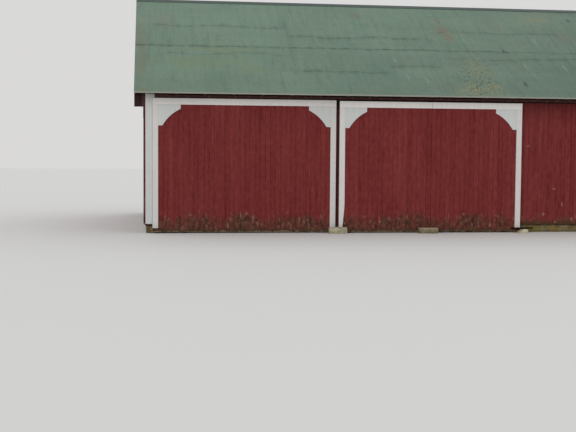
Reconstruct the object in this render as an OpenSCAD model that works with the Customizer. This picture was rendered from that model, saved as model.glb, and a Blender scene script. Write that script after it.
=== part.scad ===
// Three-bay timber barn with two wide sliding-door openings on its front.
// The front faces -Y. The origin is at ground level, in the middle of the plan.

/* [Plan] */
// Length of the timber frame along X
barn_l = 12192; // [9000:10:16000]
// Width of the timber frame along Y
barn_w = 7315; // [6000:5:9000]
// Height of the masonry foundation above the ground
plinth_h = 164; // [100:1:260]

/* [Timber frame] */
// Side of each square post
post = 200; // [150:5:240]
// Height of the underside of the wall plates
wall_h = 2660; // [2450:5:3000]
// Depth of the wall plates
plate_h = 344; // [280:2:400]
// Depth of the tie beams
tie_h = 250; // [180:5:270]
// Height of the sill beams on the foundation
sill_h = 150; // [100:5:200]
// Distance of each gable post from the ridge line
gable_post_y = 1150; // [900:10:1500]
// Thickness of the knee braces across their grain
brace_d = 100; // [70:5:130]
// Reach of a knee brace along its post and its tie beam
brace_reach = 700; // [500:10:900]
// Width of the knee braces along the barn
brace_w = 80; // [60:5:120]
// Height of a girt, the rail that the wall boards are nailed to
girt_h = 100; // [70:5:140]
// Thickness of a girt
girt_t = 50; // [30:5:80]
// Height of the middle of the lower girts
girt_low_z = 1100; // [800:10:1300]
// Height of the middle of the upper girts
girt_high_z = 1900; // [1600:10:2200]

/* [Roof] */
// Slope of the roof in degrees
roof_pitch = 31.1; // [26:0.1:36]
// Reach of the roof past the frame at the eaves
eave_out = 420; // [350:5:500]
// Reach of the roof past the frame at the gables
rake_out = 231; // [160:1:320]
// Reach of the back slope past the frame at the gables
back_rake_out = 100; // [90:1:320]
// Depth of a rafter, square to its slope
rafter_d = 170; // [140:5:200]
// Thickness of a rafter
rafter_t = 50; // [38:1:70]
// Target distance from one rafter to the next
rafter_step = 610; // [450:10:760]
// Length of the level seat that a rafter has on its plate
rafter_seat = 67; // [50:1:110]
// Height of the plumb cut at the tail of a rafter
tail_nose = 26; // [15:1:60]
// Distance of the rafter tails behind the roof's edge
tail_back = 60; // [40:5:120]
// Thickness of the ridge board
ridge_t = 40; // [25:1:60]
// Thickness of the roof boards
deck_t = 22; // [18:1:30]
// Thickness of the roof covering
roofing_t = 8; // [5:1:14]
// Width of the ridge cap on each slope
cap_w = 120; // [90:5:220]
// Thickness of the ridge cap
cap_t = 6; // [4:1:10]
// Height of the drip edge at the eaves
drip_h = 28; // [20:1:45]
// Thickness of the drip edge
drip_t = 8; // [5:1:12]
// Depth of the barge boards, square to the slope
barge_d = 140; // [110:5:165]
// Reach of the roof covering past the barge boards
verge_lap = 20; // [10:1:40]

/* [Walls] */
// Thickness of the vertical wall boards
siding_t = 22; // [18:1:30]
// Width of a corner board
corner_w = 138; // [110:1:160]
// Thickness of the corner boards and door trim
trim_t = 20; // [15:1:30]
// Width of the left corner board above the door head
corner_top_w = 190; // [160:1:190]
// Height of the foot of the corner boards
corner_z = 200; // [180:5:300]
// Width of the side boards at the corners
side_board_w = 120; // [90:5:160]

/* [Sliding doors] */
// Gap between the left corner board and the left door
door_corner_gap = 5; // [5:1:12]
// Distance from the right edge of the left door to the middle of the second post
left_door_short = 23; // [10:1:40]
// Distance from the middle of the second post to the pair of doors
pair_start = 39; // [15:1:60]
// Distance from the middle of the third post to the right edge of the pair
pair_end = 14; // [0:1:60]
// Gap between the two doors of the pair
pair_gap = 5; // [5:1:12]
// Rise of the left door's head above the underside of the plates
door_head_rise = 176; // [120:1:180]
// Drop from the left door's head to the heads of the pair
pair_drop = 17; // [0:1:50]
// Height of the foot of the doors
door_foot = 25; // [15:1:60]
// Thickness of the boards of the doors
door_board_t = 22; // [18:1:26]
// Thickness of the frames on the back of the doors
door_frame_t = 25; // [20:1:30]
// Width of the members of the door frames
door_member = 120; // [90:5:150]
// Running clearance between two door planes
plane_gap = 12; // [8:1:20]
// Height of the white head rail of a door
rail_h = 133; // [110:1:160]
// Width of the white stile at the side of a door
stile_w = 120; // [100:1:140]
// Height of the foot of the white stiles
stile_z = 110; // [60:5:160]
// Width that is left at the worn foot of the middle door's stile
worn_stile_w = 75; // [50:5:95]
// Height of the worn part of that stile
worn_stile_h = 480; // [200:10:800]
// Reach of the corner bracket along the head rail
bracket_w = 470; // [380:5:560]
// Reach of the corner bracket down the stile
bracket_h = 440; // [360:5:520]
// Depth of the square step at each end of a corner bracket
bracket_step = 90; // [60:5:120]
// Radius of the hollow curve of a corner bracket
bracket_r = 850; // [600:10:1200]

/* [Door track] */
// Gap between the left door's head and the tracks
track_gap = 20; // [15:1:22]
// Outer height and width of the box track
track_side = 48; // [44:1:50]
// Wall thickness of the track
track_wall = 4; // [3:1:5]
// Width of the slot along the underside of the track
track_slot = 16; // [15:1:20]
// Radius of a trolley wheel
wheel_r = 14; // [10:0.5:17]
// Thickness of a trolley wheel
wheel_t = 8; // [5:0.5:8]
// Diameter of the hanging bolt of a trolley
bolt_d = 10; // [8:1:12]
// Distance of the outer trolleys from the side of their door
hanger_inset = 350; // [250:10:500]
// Thickness of the plates of the trolleys and track brackets
strap_t = 6; // [4:1:8]
// Radius of a trolley's axles
axle_r = 4; // [3:0.5:5]
// Thickness of the carrier's wall round an axle
carrier_wall = 2; // [1:0.5:4]
// Side play of the wheels in their track
wheel_play = 3; // [1:0.5:4]
// Length of the plate that hangs a door from a trolley
hanger_plate_l = 120; // [80:5:160]
// Width of the brackets that carry the tracks
track_bracket_w = 50; // [30:5:80]
// Distance from the ends of the outer track to the first and last brackets
bracket_inset = 150; // [80:10:300]
// Number of brackets that carry the tracks
bracket_count = 14; // [8:1:20]

/* [Guide stones] */
// Distance from the outer doors to the guide stones
guide_gap = 14; // [8:1:30]
// Depth of the guide stones, front to back
guide_d = 200; // [150:5:205]
// Length of the middle guide stone
middle_stone_l = 390; // [300:5:450]
// Height of the middle guide stone
middle_stone_h = 140; // [100:5:180]
// Length of the guide block under the meeting doors
block_l = 410; // [300:5:450]
// Height of the guide block
block_h = 120; // [90:5:160]
// Length of the right guide stone
end_stone_l = 260; // [180:5:300]
// Height of the right guide stone
end_stone_h = 90; // [70:5:150]
// Length of the flat iron on the right guide stone
iron_l = 480; // [400:10:600]
// Width of the flat iron
iron_w = 60; // [40:5:80]
// Thickness of the flat iron
iron_t = 26; // [8:1:40]
// Distance of the flat iron's middle to the right of the stone's middle
iron_shift = 40; // [0:5:80]
// Distance of the flat iron from the back of its stone
iron_back = 15; // [5:1:40]
// Worn height of the front edges of the two stones
stone_worn = 25; // [5:1:40]
// Worn height of the front edge of the block
block_worn = 10; // [2:1:20]
// Distance of the block to the left of the middle of the second doorway
block_shift = 85; // [0:5:150]

/* [Hidden] */
bays = 3;
half_l = barn_l / 2;
half_w = barn_w / 2;
bay_w = barn_l / bays;
front = -half_w;
in_l = half_l - post;
in_w = half_w - post;
post_x = [for (i = [0:bays]) i == 0 ? -half_l + post / 2 :
                             i == bays ? half_l - post / 2 : -half_l + i * bay_w];
gable_post_ys = [-half_w + post / 2, -gable_post_y, gable_post_y, half_w - post / 2];

plate_top = wall_h + plate_h;
slope = tan(roof_pitch);
up = 1 / cos(roof_pitch);
// Seating clearance between sloped layers
seat = 0.03;
// Heights of the rafters' edges and of the layers above them, at a distance y from the ridge
function rafter_low(y) = plate_top + (half_w - rafter_seat - y) * slope;
function rafter_top(y) = rafter_low(y) + rafter_d * up;
function deck_low(y) = rafter_top(y) + seat;
function deck_top(y) = deck_low(y) + deck_t * up;
function roofing_low(y) = deck_top(y) + seat;
function roof_top(y) = roofing_low(y) + roofing_t * up;
function cap_low(y) = roof_top(y) + seat;
function stud_top(y) = rafter_low(y) - seat;
roof_y = half_w + eave_out;
deck_y = roof_y - drip_t;
tail_y = roof_y - tail_back;
soffit_z = rafter_top(tail_y) - tail_nose;
roof_x = half_l + rake_out;
deck_x = roof_x - verge_lap;
back_roof_x = half_l + back_rake_out;
back_deck_x = back_roof_x - verge_lap;
rafter_gaps = round((barn_l - rafter_t) / rafter_step);
rafter_pitch_x = (barn_l - rafter_t) / rafter_gaps;
ridge_half = ridge_t / 2;

inner_door_top = wall_h + door_head_rise;
outer_door_top = inner_door_top - pair_drop;
track_z = inner_door_top + track_gap;
head_gap = 6;
door_t = door_frame_t + door_board_t + trim_t;
inner_back = front - plane_gap;
outer_back = inner_back - door_t - plane_gap;
outer_front = outer_back - door_t;
left_door_x = -half_l + corner_w + door_corner_gap;
left_door_w = post_x[1] - left_door_short - left_door_x;
pair_x = post_x[1] + pair_start;
pair_w = post_x[2] + pair_end - pair_x;
leaf_w = (pair_w - pair_gap) / 2;
right_door_x = pair_x + leaf_w + pair_gap;
siding_x = post_x[2] - post / 2;

inner_track_y = inner_back - door_t / 2;
outer_track_y = outer_back - door_t / 2;
track_top = track_z + track_side;
track_play = 0.3;
slot_play = 1;
track_end_gap = 5;
track_start = -half_l + corner_top_w + track_end_gap;
inner_track_end = siding_x - track_end_gap;
outer_track_end = in_l - track_end_gap;
bracket_first = track_start + bracket_inset;
bracket_last = outer_track_end - bracket_inset;
pad_margin = 50;
cut_margin = 1;
guide_back = outer_front - guide_gap;
pair_middle = pair_x + pair_w / 2;
end_stone_x = post_x[2];
arc_steps = 12;

// A box from one low corner to its opposite high corner
module box(low, high) translate(low) cube(high - low);

// A profile drawn in (y, z), run along X from x0 to x1
module along_x(x0, x1) translate([x0, 0, 0]) rotate([90, 0, 90]) linear_extrude(x1 - x0) children();

// A copy of the children on the front and on the back of the barn
module both_eaves() { children(); mirror([0, 1, 0]) children(); }

// A copy of the children at the left and at the right gable
module both_gables() { children(); mirror([1, 0, 0]) children(); }

// One layer of a roof slope on the back, from its heights at the ridge and at the eave
module slope_layer(x_end, y_end, low_ridge, low_eave, high_ridge, high_eave)
    along_x(-x_end, x_end)
        polygon([[0, low_ridge], [y_end, low_eave], [y_end, high_eave], [0, high_ridge]]);

// The masonry: a wall under the closed sides, open at the doorways, and a pad under the second post
module foundation() color("#80785f") {
    linear_extrude(plinth_h) polygon([
        [-half_l, front], [-in_l, front], [-in_l, in_w], [in_l, in_w], [in_l, -in_w],
        [siding_x, -in_w], [siding_x, front], [half_l, front], [half_l, half_w], [-half_l, half_w]]);
    box([post_x[1] - post / 2 - pad_margin, front, 0],
        [post_x[1] + post / 2 + pad_margin, -in_w + pad_margin, plinth_h]);
}

// A row of posts along one long wall, from the foundation to the plate
module post_row(y_low) for (x = post_x)
    box([x - post / 2, y_low, plinth_h], [x + post / 2, y_low + post, wall_h]);

module front_posts() color("#5b2a26") post_row(front);
module back_posts() color("#6b5a45") post_row(in_w);
module gable_posts() color("#6b5a45") both_gables() for (y = [-gable_post_y, gable_post_y])
    box([in_l, y - post / 2, plinth_h], [half_l, y + post / 2, wall_h]);

// The sill beams lie on the foundation between the posts
module sills() color("#6b5a45") {
    box([post_x[2] + post / 2, front, plinth_h], [in_l, -in_w, plinth_h + sill_h]);
    for (i = [0:bays - 1])
        box([post_x[i] + post / 2, in_w, plinth_h], [post_x[i + 1] - post / 2, half_w, plinth_h + sill_h]);
    both_gables() for (i = [0:len(gable_post_ys) - 2])
        box([in_l, gable_post_ys[i] + post / 2, plinth_h],
            [half_l, gable_post_ys[i + 1] - post / 2, plinth_h + sill_h]);
}

// The plates run past both gables and carry the barge boards
module wall_plate(x_end) box([-x_end, in_w, wall_h], [x_end, half_w, plate_top]);
module front_plate() color("#43332c") mirror([0, 1, 0]) wall_plate(roof_x);
module back_plate() color("#43332c") wall_plate(back_roof_x);

module tie_beams() color("#6b5a45") for (x = post_x)
    box([x - post / 2, -in_w, wall_h], [x + post / 2, in_w, wall_h + tie_h]);

// Each brace is cut square to its post and its tie beam
module knee_braces() color("#6b5a45") for (x = post_x) both_eaves()
    along_x(x - brace_w / 2, x + brace_w / 2) polygon([
        [in_w, wall_h - brace_reach], [in_w, wall_h - brace_reach + brace_d * sqrt(2)],
        [in_w - brace_reach + brace_d * sqrt(2), wall_h], [in_w - brace_reach, wall_h]]);

// Girts between two posts, flush with the outside of the frame
module girt_pair(low, high) for (z = [girt_low_z, girt_high_z])
    box([low.x, low.y, z - girt_h / 2], [high.x, high.y, z + girt_h / 2]);

module front_girts() color("#6b5a45")
    girt_pair([post_x[2] + post / 2, front], [in_l, front + girt_t]);

module back_girts() color("#6b5a45") for (i = [0:bays - 1])
    girt_pair([post_x[i] + post / 2, half_w - girt_t], [post_x[i + 1] - post / 2, half_w]);

module gable_girts() color("#6b5a45") both_gables() for (i = [0:len(gable_post_ys) - 2])
    girt_pair([half_l - girt_t, gable_post_ys[i] + post / 2], [half_l, gable_post_ys[i + 1] - post / 2]);

// Studs stand on the gable tie beams and end under the rafters and the ridge board
module gable_studs() color("#6b5a45") {
    stud = post / 2;
    tie_top = wall_h + tie_h;
    both_gables() {
        along_x(half_l - stud, half_l) polygon([
            [-stud / 2, tie_top], [stud / 2, tie_top], [stud / 2, stud_top(stud / 2)],
            [ridge_half, stud_top(ridge_half)], [-ridge_half, stud_top(ridge_half)],
            [-stud / 2, stud_top(stud / 2)]]);
        for (y = [barn_w / 6, barn_w / 3]) both_eaves()
            along_x(half_l - stud, half_l) polygon([
                [y - stud / 2, tie_top], [y + stud / 2, tie_top],
                [y + stud / 2, stud_top(y + stud / 2)], [y - stud / 2, stud_top(y - stud / 2)]]);
    }
}

// A rafter with its plumb cut at the ridge, its seat on the plate and a level-cut tail
module rafter_profile(depth) {
    low = rafter_d * up - depth * up;
    seat_y = half_w - rafter_seat + low / slope;
    polygon([
        [ridge_half, rafter_low(ridge_half) + low], [seat_y, plate_top], [half_w, plate_top],
        [half_w, soffit_z], [tail_y, soffit_z], [tail_y, rafter_top(tail_y)],
        [ridge_half, rafter_top(ridge_half)]]);
}

module rafters() color("#7a6a52") for (i = [0:rafter_gaps]) both_eaves()
    along_x(-half_l + i * rafter_pitch_x, -half_l + i * rafter_pitch_x + rafter_t)
        rafter_profile(rafter_d);

module ridge_profile() polygon([
    [-ridge_half, rafter_low(ridge_half)], [ridge_half, rafter_low(ridge_half)],
    [ridge_half, rafter_top(ridge_half)], [0, rafter_top(0)], [-ridge_half, rafter_top(ridge_half)]]);

module ridge_board() color("#7a6a52") along_x(-deck_x, deck_x) ridge_profile();

// Vertical boards of the closed bay, below the track brackets
module front_siding() color("#672b2b")
    box([siding_x, front - siding_t, plinth_h], [half_l + siding_t, front, inner_door_top]);

module back_siding() color("#672b2b")
    box([-half_l - siding_t, half_w, plinth_h], [half_l + siding_t, half_w + siding_t, soffit_z]);

// A gable wall reaches up to the roof boards and is cut round the plates and the ridge board
module gable_wall() difference() {
    along_x(half_l, half_l + siding_t) polygon([
        [-half_w, plinth_h], [half_w, plinth_h], [half_w, rafter_top(half_w)],
        [0, rafter_top(0)], [-half_w, rafter_top(half_w)]]);
    both_eaves() box([half_l - cut_margin, in_w, wall_h],
                     [half_l + siding_t + cut_margin, half_w + cut_margin, plate_top]);
    along_x(half_l - cut_margin, half_l + siding_t + cut_margin) ridge_profile();
}

module left_gable_siding() color("#672b2b") mirror([1, 0, 0]) gable_wall();
module right_gable_siding() color("#672b2b") gable_wall();

module roof_deck(x_end) slope_layer(x_end, deck_y, deck_low(0), deck_low(deck_y),
                                    deck_top(0), deck_top(deck_y));
module front_roof_deck() color("#7a6a52") mirror([0, 1, 0]) roof_deck(deck_x);
module back_roof_deck() color("#7a6a52") roof_deck(back_deck_x);

module roofing(x_end) slope_layer(x_end, deck_y, roofing_low(0), roofing_low(deck_y),
                                  roof_top(0), roof_top(deck_y));
module front_roofing() color("#6d8272") mirror([0, 1, 0]) roofing(roof_x);
module back_roofing() color("#6d8272") roofing(back_roof_x);

module ridge_cap() color("#6d8272") along_x(-roof_x, roof_x) polygon([
    [0, cap_low(0)], [cap_w, cap_low(cap_w)], [cap_w, cap_low(cap_w) + cap_t * up],
    [0, cap_low(0) + cap_t * up], [-cap_w, cap_low(cap_w) + cap_t * up], [-cap_w, cap_low(cap_w)]]);

module drip_edge(x_end) along_x(-x_end, x_end) polygon([
    [deck_y, roof_top(roof_y) - drip_h], [roof_y, roof_top(roof_y) - drip_h],
    [roof_y, roof_top(roof_y)], [deck_y, roof_top(deck_y)]]);
module drip_edges() color("#b9beb4") {
    mirror([0, 1, 0]) drip_edge(roof_x);
    drip_edge(back_roof_x);
}

module barge_board(x_out) along_x(x_out - siding_t, x_out) rafter_profile(barge_d);
module barge_boards() color("#4b2a26") both_gables() {
    mirror([0, 1, 0]) barge_board(deck_x);
    barge_board(back_deck_x);
}

// White boards on the long faces of the corners. The left front one is a stop for the left door:
// it stands out as far as the door's face and is wider above the door head.
module corner_boards() color("#b4b6b2") {
    stop_y = inner_back - door_t;
    box([-half_l, stop_y, corner_z], [-half_l + corner_w, front, soffit_z]);
    box([-half_l + corner_w, stop_y, inner_door_top + head_gap],
        [-half_l + corner_top_w, front, soffit_z]);
    outer = half_l + siding_t + trim_t;
    box([half_l - corner_w, front - siding_t - trim_t, corner_z], [outer, front - siding_t, inner_door_top]);
    both_gables() box([half_l - corner_w, half_w + siding_t, corner_z],
                      [outer, half_w + siding_t + trim_t, soffit_z]);
}

// Red boards on the gable faces of the corners
module side_corner_boards() color("#5e2827") {
    x0 = half_l + siding_t;
    box([-x0 - trim_t, front, corner_z], [-x0, front + side_board_w, wall_h]);
    box([x0, front, corner_z], [x0 + trim_t, front + side_board_w, wall_h]);
    both_gables() box([x0, half_w - side_board_w, corner_z], [x0 + trim_t, half_w, wall_h]);
}

// A box track with a slot along its underside, where the trolley bolts pass
module track(x0, x1, y) along_x(x0, x1) translate([y, track_z]) {
    s = track_side / 2;
    w = s - track_wall;
    g = track_slot / 2;
    polygon([[-g, 0], [-g, track_wall], [-w, track_wall], [-w, track_side - track_wall],
             [w, track_side - track_wall], [w, track_wall], [g, track_wall], [g, 0],
             [s, 0], [s, track_side], [-s, track_side], [-s, 0]]);
}
module inner_track() color("#3c2b28") track(track_start, inner_track_end, inner_track_y);
module outer_track() color("#3c2b28") track(track_start, outer_track_end, outer_track_y);

// Each bracket is an angle: a leg on the plate and an arm over both tracks
module track_brackets() color("#2f2624") for (i = [0:bracket_count - 1]) {
    x = bracket_first + i * (bracket_last - bracket_first) / (bracket_count - 1);
    box([x - track_bracket_w / 2, outer_track_y - track_side / 2, track_top],
        [x + track_bracket_w / 2, front, track_top + strap_t]);
    box([x - track_bracket_w / 2, front - strap_t, inner_door_top + head_gap],
        [x + track_bracket_w / 2, front, track_top + strap_t]);
}

// Boards of one door, from its low left corner
module door_boards(x0, w, back, top) color("#682b2a")
    box([x0, back - door_frame_t - door_board_t, door_foot], [x0 + w, back - door_frame_t, top]);

// Frame behind the boards: stiles, three rails and a brace in each panel
module door_frame(x0, w, back, top) color("#6b5a45") {
    middle = (door_foot + top) / 2;
    y0 = back - door_frame_t;
    for (x = [x0, x0 + w - door_member])
        box([x, y0, door_foot], [x + door_member, back, top]);
    for (z = [door_foot, middle - door_member / 2, top - door_member])
        box([x0, y0, z], [x0 + w, back, z + door_member]);
    translate([0, back, 0]) rotate([90, 0, 0]) linear_extrude(door_frame_t) {
        door_brace([x0 + door_member, door_foot + door_member],
                   [x0 + w - door_member, middle - door_member / 2]);
        door_brace([x0 + door_member, middle + door_member / 2],
                   [x0 + w - door_member, top - door_member]);
    }
}

// A brace along the diagonal of one panel, let into the frame at both corners
module door_brace(low, high) {
    half = door_member / 2;
    lap = door_member / 10;
    run = (high.x - low.x) / (high.y - low.y) * lap;
    polygon([[low.x - run - half, low.y - lap], [low.x - run + half, low.y - lap],
             [high.x + run + half, high.y + lap], [high.x + run - half, high.y + lap]]);
}

// Outline of a corner bracket below a head rail and beside a stile, from that corner, in (x, z):
// a square step at each end and a hollow curve between them
bracket_outline =
    let (chord = [bracket_w - bracket_step, bracket_h - bracket_step],
         middle = [bracket_w + bracket_step, -bracket_h - bracket_step] / 2,
         reach = sqrt(bracket_r * bracket_r - norm(chord) * norm(chord) / 4),
         centre = middle + reach * [chord.y, -chord.x] / norm(chord),
         from = atan2(-bracket_step - centre.y, bracket_w - centre.x),
         to = atan2(-bracket_h - centre.y, bracket_step - centre.x))
    concat([[bracket_w, 0]],
           [for (k = [0:arc_steps]) centre + bracket_r * [cos(from + (to - from) * k / arc_steps),
                                                          sin(from + (to - from) * k / arc_steps)]],
           [[0, -bracket_h]]);
function reversed(points) = [for (i = [len(points) - 1:-1:0]) points[i]];

// White head rail, stiles and corner brackets on the face of one door, cut as one outline
module door_trim(x0, w, back, top, left, right, worn = false) color("#b4b6b2") {
    rail_low = top - rail_h;
    left_foot = worn ? [[x0 + stile_w, stile_z + worn_stile_h], [x0 + worn_stile_w, stile_z]]
                     : [[x0 + stile_w, stile_z]];
    left_side = left ? concat([for (p = bracket_outline) [x0 + stile_w + p.x, rail_low + p.y]],
                              left_foot, [[x0, stile_z]])
                     : [[x0, rail_low]];
    right_side = right ? concat([[x0 + w, stile_z], [x0 + w - stile_w, stile_z]],
                                [for (p = reversed(bracket_outline))
                                    [x0 + w - stile_w - p.x, rail_low + p.y]])
                       : [[x0 + w, rail_low]];
    translate([0, back - door_frame_t - door_board_t, 0]) rotate([90, 0, 0]) linear_extrude(trim_t)
        polygon(concat([[x0, top], [x0 + w, top]], right_side, left_side));
}

// A trolley: a plate on the door head, a bolt through the slot and four wheels in the track
module trolley(x, y, top) translate([x, y, 0]) {
    axle_z = track_z + track_wall + track_play + wheel_r;
    axle_dx = wheel_r + wheel_play;
    wheel_out = track_side / 2 - track_wall - wheel_play;
    carrier = axle_r + carrier_wall;
    carrier_half = track_slot / 2 - slot_play;
    box([-hanger_plate_l / 2, -track_slot, top], [hanger_plate_l / 2, track_slot, top + strap_t]);
    translate([0, 0, top + strap_t]) cylinder(d = bolt_d, h = axle_z - top - strap_t, $fn = 24);
    box([-axle_dx - carrier, -carrier_half, axle_z - carrier],
        [axle_dx + carrier, carrier_half, axle_z + carrier]);
    for (dx = [-axle_dx, axle_dx]) {
        translate([dx, wheel_out, axle_z]) rotate([90, 0, 0])
            cylinder(r = axle_r, h = 2 * wheel_out, $fn = 24);
        for (y_end = [wheel_out, wheel_t - wheel_out])
            translate([dx, y_end, axle_z]) rotate([90, 0, 0])
                cylinder(r = wheel_r, h = wheel_t, $fn = 32);
    }
}

module door_hangers(x0, w, y, top, count) color("#2f2624") for (i = [0:count - 1])
    trolley(x0 + hanger_inset + i * (w - 2 * hanger_inset) / (count - 1), y, top);

module left_door_boards() door_boards(left_door_x, left_door_w, inner_back, inner_door_top);
module left_door_frame() door_frame(left_door_x, left_door_w, inner_back, inner_door_top);
module left_door_trim() door_trim(left_door_x, left_door_w, inner_back, inner_door_top, true, true);
module left_door_hangers() door_hangers(left_door_x, left_door_w, inner_track_y, inner_door_top, 3);

module middle_door_boards() door_boards(pair_x, leaf_w, outer_back, outer_door_top);
module middle_door_frame() door_frame(pair_x, leaf_w, outer_back, outer_door_top);
module middle_door_trim() door_trim(pair_x, leaf_w, outer_back, outer_door_top, true, false, true);
module middle_door_hangers() door_hangers(pair_x, leaf_w, outer_track_y, outer_door_top, 2);

module right_door_boards() door_boards(right_door_x, leaf_w, outer_back, outer_door_top);
module right_door_frame() door_frame(right_door_x, leaf_w, outer_back, outer_door_top);
module right_door_trim() door_trim(right_door_x, leaf_w, outer_back, outer_door_top, false, true);
module right_door_hangers() door_hangers(right_door_x, leaf_w, outer_track_y, outer_door_top, 2);

// A stone with a worn top that keeps the feet of the doors from swinging out
module guide_stone(x_middle, length, height, worn) along_x(x_middle - length / 2, x_middle + length / 2)
    polygon([[guide_back, 0], [guide_back, height], [guide_back - guide_d + worn, height],
             [guide_back - guide_d, height - worn], [guide_back - guide_d, 0]]);

module middle_guide_stone() color("#908a73") guide_stone(post_x[1], middle_stone_l, middle_stone_h, stone_worn);
module guide_block() color("#736751") guide_stone(pair_middle - block_shift, block_l, block_h, block_worn);
module end_guide_stone() color("#b0aea4") guide_stone(end_stone_x, end_stone_l, end_stone_h, stone_worn);
module guide_iron() color("#1f1c1b")
    box([end_stone_x + iron_shift - iron_l / 2, guide_back - iron_w - iron_back, end_stone_h],
        [end_stone_x + iron_shift + iron_l / 2, guide_back - iron_back, end_stone_h + iron_t]);

foundation();
front_posts();
back_posts();
gable_posts();
sills();
front_plate();
back_plate();
tie_beams();
knee_braces();
front_girts();
back_girts();
gable_girts();
gable_studs();
rafters();
ridge_board();
front_siding();
back_siding();
left_gable_siding();
right_gable_siding();
front_roof_deck();
back_roof_deck();
front_roofing();
back_roofing();
ridge_cap();
drip_edges();
barge_boards();
corner_boards();
side_corner_boards();
inner_track();
outer_track();
track_brackets();
left_door_boards();
left_door_frame();
left_door_trim();
left_door_hangers();
middle_door_boards();
middle_door_frame();
middle_door_trim();
middle_door_hangers();
right_door_boards();
right_door_frame();
right_door_trim();
right_door_hangers();
middle_guide_stone();
guide_block();
end_guide_stone();
guide_iron();
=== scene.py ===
# %% [markdown]
# # A red farm barn with sliding doors
#
# The barn is a timber frame of three bays, boarded in red and roofed in green sheet metal. This
# lesson dresses a finished CAD model of it. The CAD model has every post, slab and door at its real
# size in metres, with X along the barn, Y from the doors to the back wall and Z up. It stays where it
# is. Each slab that is really many boards or sheets is replaced by a mesh of boards or sheets in the
# same place, and every other piece gets a finish that shows what it is made of.

import math
import random

import bpy
from mathutils import Matrix, Vector, noise


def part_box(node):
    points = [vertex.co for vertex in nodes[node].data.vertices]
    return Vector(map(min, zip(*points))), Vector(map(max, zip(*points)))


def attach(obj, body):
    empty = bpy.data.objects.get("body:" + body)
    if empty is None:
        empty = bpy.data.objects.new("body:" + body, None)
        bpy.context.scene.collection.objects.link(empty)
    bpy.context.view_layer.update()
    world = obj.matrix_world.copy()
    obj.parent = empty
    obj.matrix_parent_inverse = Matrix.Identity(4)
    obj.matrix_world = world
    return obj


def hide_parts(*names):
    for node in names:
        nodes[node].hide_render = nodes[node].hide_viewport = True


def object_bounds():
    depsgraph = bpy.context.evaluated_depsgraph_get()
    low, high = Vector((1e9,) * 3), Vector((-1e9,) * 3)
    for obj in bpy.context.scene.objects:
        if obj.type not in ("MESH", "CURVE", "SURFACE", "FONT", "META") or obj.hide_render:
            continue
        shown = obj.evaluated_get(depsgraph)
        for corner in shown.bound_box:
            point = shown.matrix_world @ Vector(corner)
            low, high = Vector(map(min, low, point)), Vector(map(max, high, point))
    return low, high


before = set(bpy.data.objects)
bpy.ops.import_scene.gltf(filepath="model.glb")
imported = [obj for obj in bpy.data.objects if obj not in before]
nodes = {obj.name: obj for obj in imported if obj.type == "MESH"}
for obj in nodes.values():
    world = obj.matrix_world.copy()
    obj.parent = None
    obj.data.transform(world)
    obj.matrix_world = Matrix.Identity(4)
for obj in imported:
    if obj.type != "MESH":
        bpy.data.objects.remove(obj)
cad_low, cad_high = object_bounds()
print(f"{len(nodes)} CAD nodes in a box of {[round(v, 3) for v in cad_high - cad_low]} m")

# %% [markdown]
# ## The photograph's viewpoint
#
# The camera stands 21.7 m in front of the doors at eye height, a little left of the middle of the
# left doorway, and looks slightly right and down. Its place was found by matching the straight lines
# of the door trim, the eave and the ridge. It could be aimed with an empty and a Track To constraint,
# but a measured yaw, pitch and roll are clearer as three angles, so the rotation is built from them.

# %% Camera from yaw, pitch and roll
PHOTO_WIDTH = 576
FOCAL_PIXELS = 1028.0
SENSOR_MM = 36.0
YAW, PITCH, ROLL = (math.radians(a) for a in (7.59, -3.49, -0.41))
CAMERA_PLACE = Vector((-5.976, -25.4565, 1.70))


def camera_axes(yaw, pitch, roll):
    """Right, up and backward directions of a camera that looks along +Y at yaw 0."""
    ahead = Vector((math.sin(yaw) * math.cos(pitch), math.cos(yaw) * math.cos(pitch), math.sin(pitch)))
    level_right = Vector((math.cos(yaw), -math.sin(yaw), 0))
    level_up = level_right.cross(ahead)
    right = level_right * math.cos(roll) - level_up * math.sin(roll)
    up = level_up * math.cos(roll) + level_right * math.sin(roll)
    return right, up, -ahead


camera_data = bpy.data.cameras.new("photo_camera")
camera_data.sensor_width = SENSOR_MM
camera_data.lens = SENSOR_MM * FOCAL_PIXELS / PHOTO_WIDTH
camera = bpy.data.objects.new("photo_camera", camera_data)
camera.matrix_world = (Matrix.Translation(CAMERA_PLACE)
                       @ Matrix(camera_axes(YAW, PITCH, ROLL)).transposed().to_4x4())
bpy.context.collection.objects.link(camera)
bpy.context.scene.camera = camera
print(f"camera lens {camera_data.lens:.1f} mm")

# %% [markdown]
# ## Small helpers for shader nodes
#
# The sky and every finish below are node trees. Adding nodes by hand takes many lines, so a few
# helpers do it. One adds a node and fills its sockets from values or from other sockets. The others
# wrap the nodes that are used most: arithmetic, blends of colour, smooth steps, vectors and noise.


# %% Helpers that add one node
def fill(tree, node, inputs):
    """Fill a node's sockets, by name or number, from values or from other sockets."""
    for key, value in inputs.items():
        if isinstance(value, bpy.types.NodeSocket):
            tree.links.new(value, node.inputs[key])
        else:
            node.inputs[key].default_value = value
    return node


def add_node(tree, kind, inputs=None, **settings):
    """Add a shader node with its settings and inputs."""
    node = tree.nodes.new("ShaderNode" + kind)
    for name, value in settings.items():
        setattr(node, name, value)
    return fill(tree, node, inputs or {})


def calc(tree, operation, a, b=0.0, c=0.0):
    """One Math node; returns its output. MULTIPLY_ADD gives a * b + c."""
    return add_node(tree, "Math", {0: a, 1: b, 2: c}, operation=operation).outputs[0]


def weighted(tree, base, *terms):
    """The base plus each value times its weight."""
    total = base
    for value, weight in terms:
        total = calc(tree, "MULTIPLY_ADD", value, weight, total)
    return total


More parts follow.
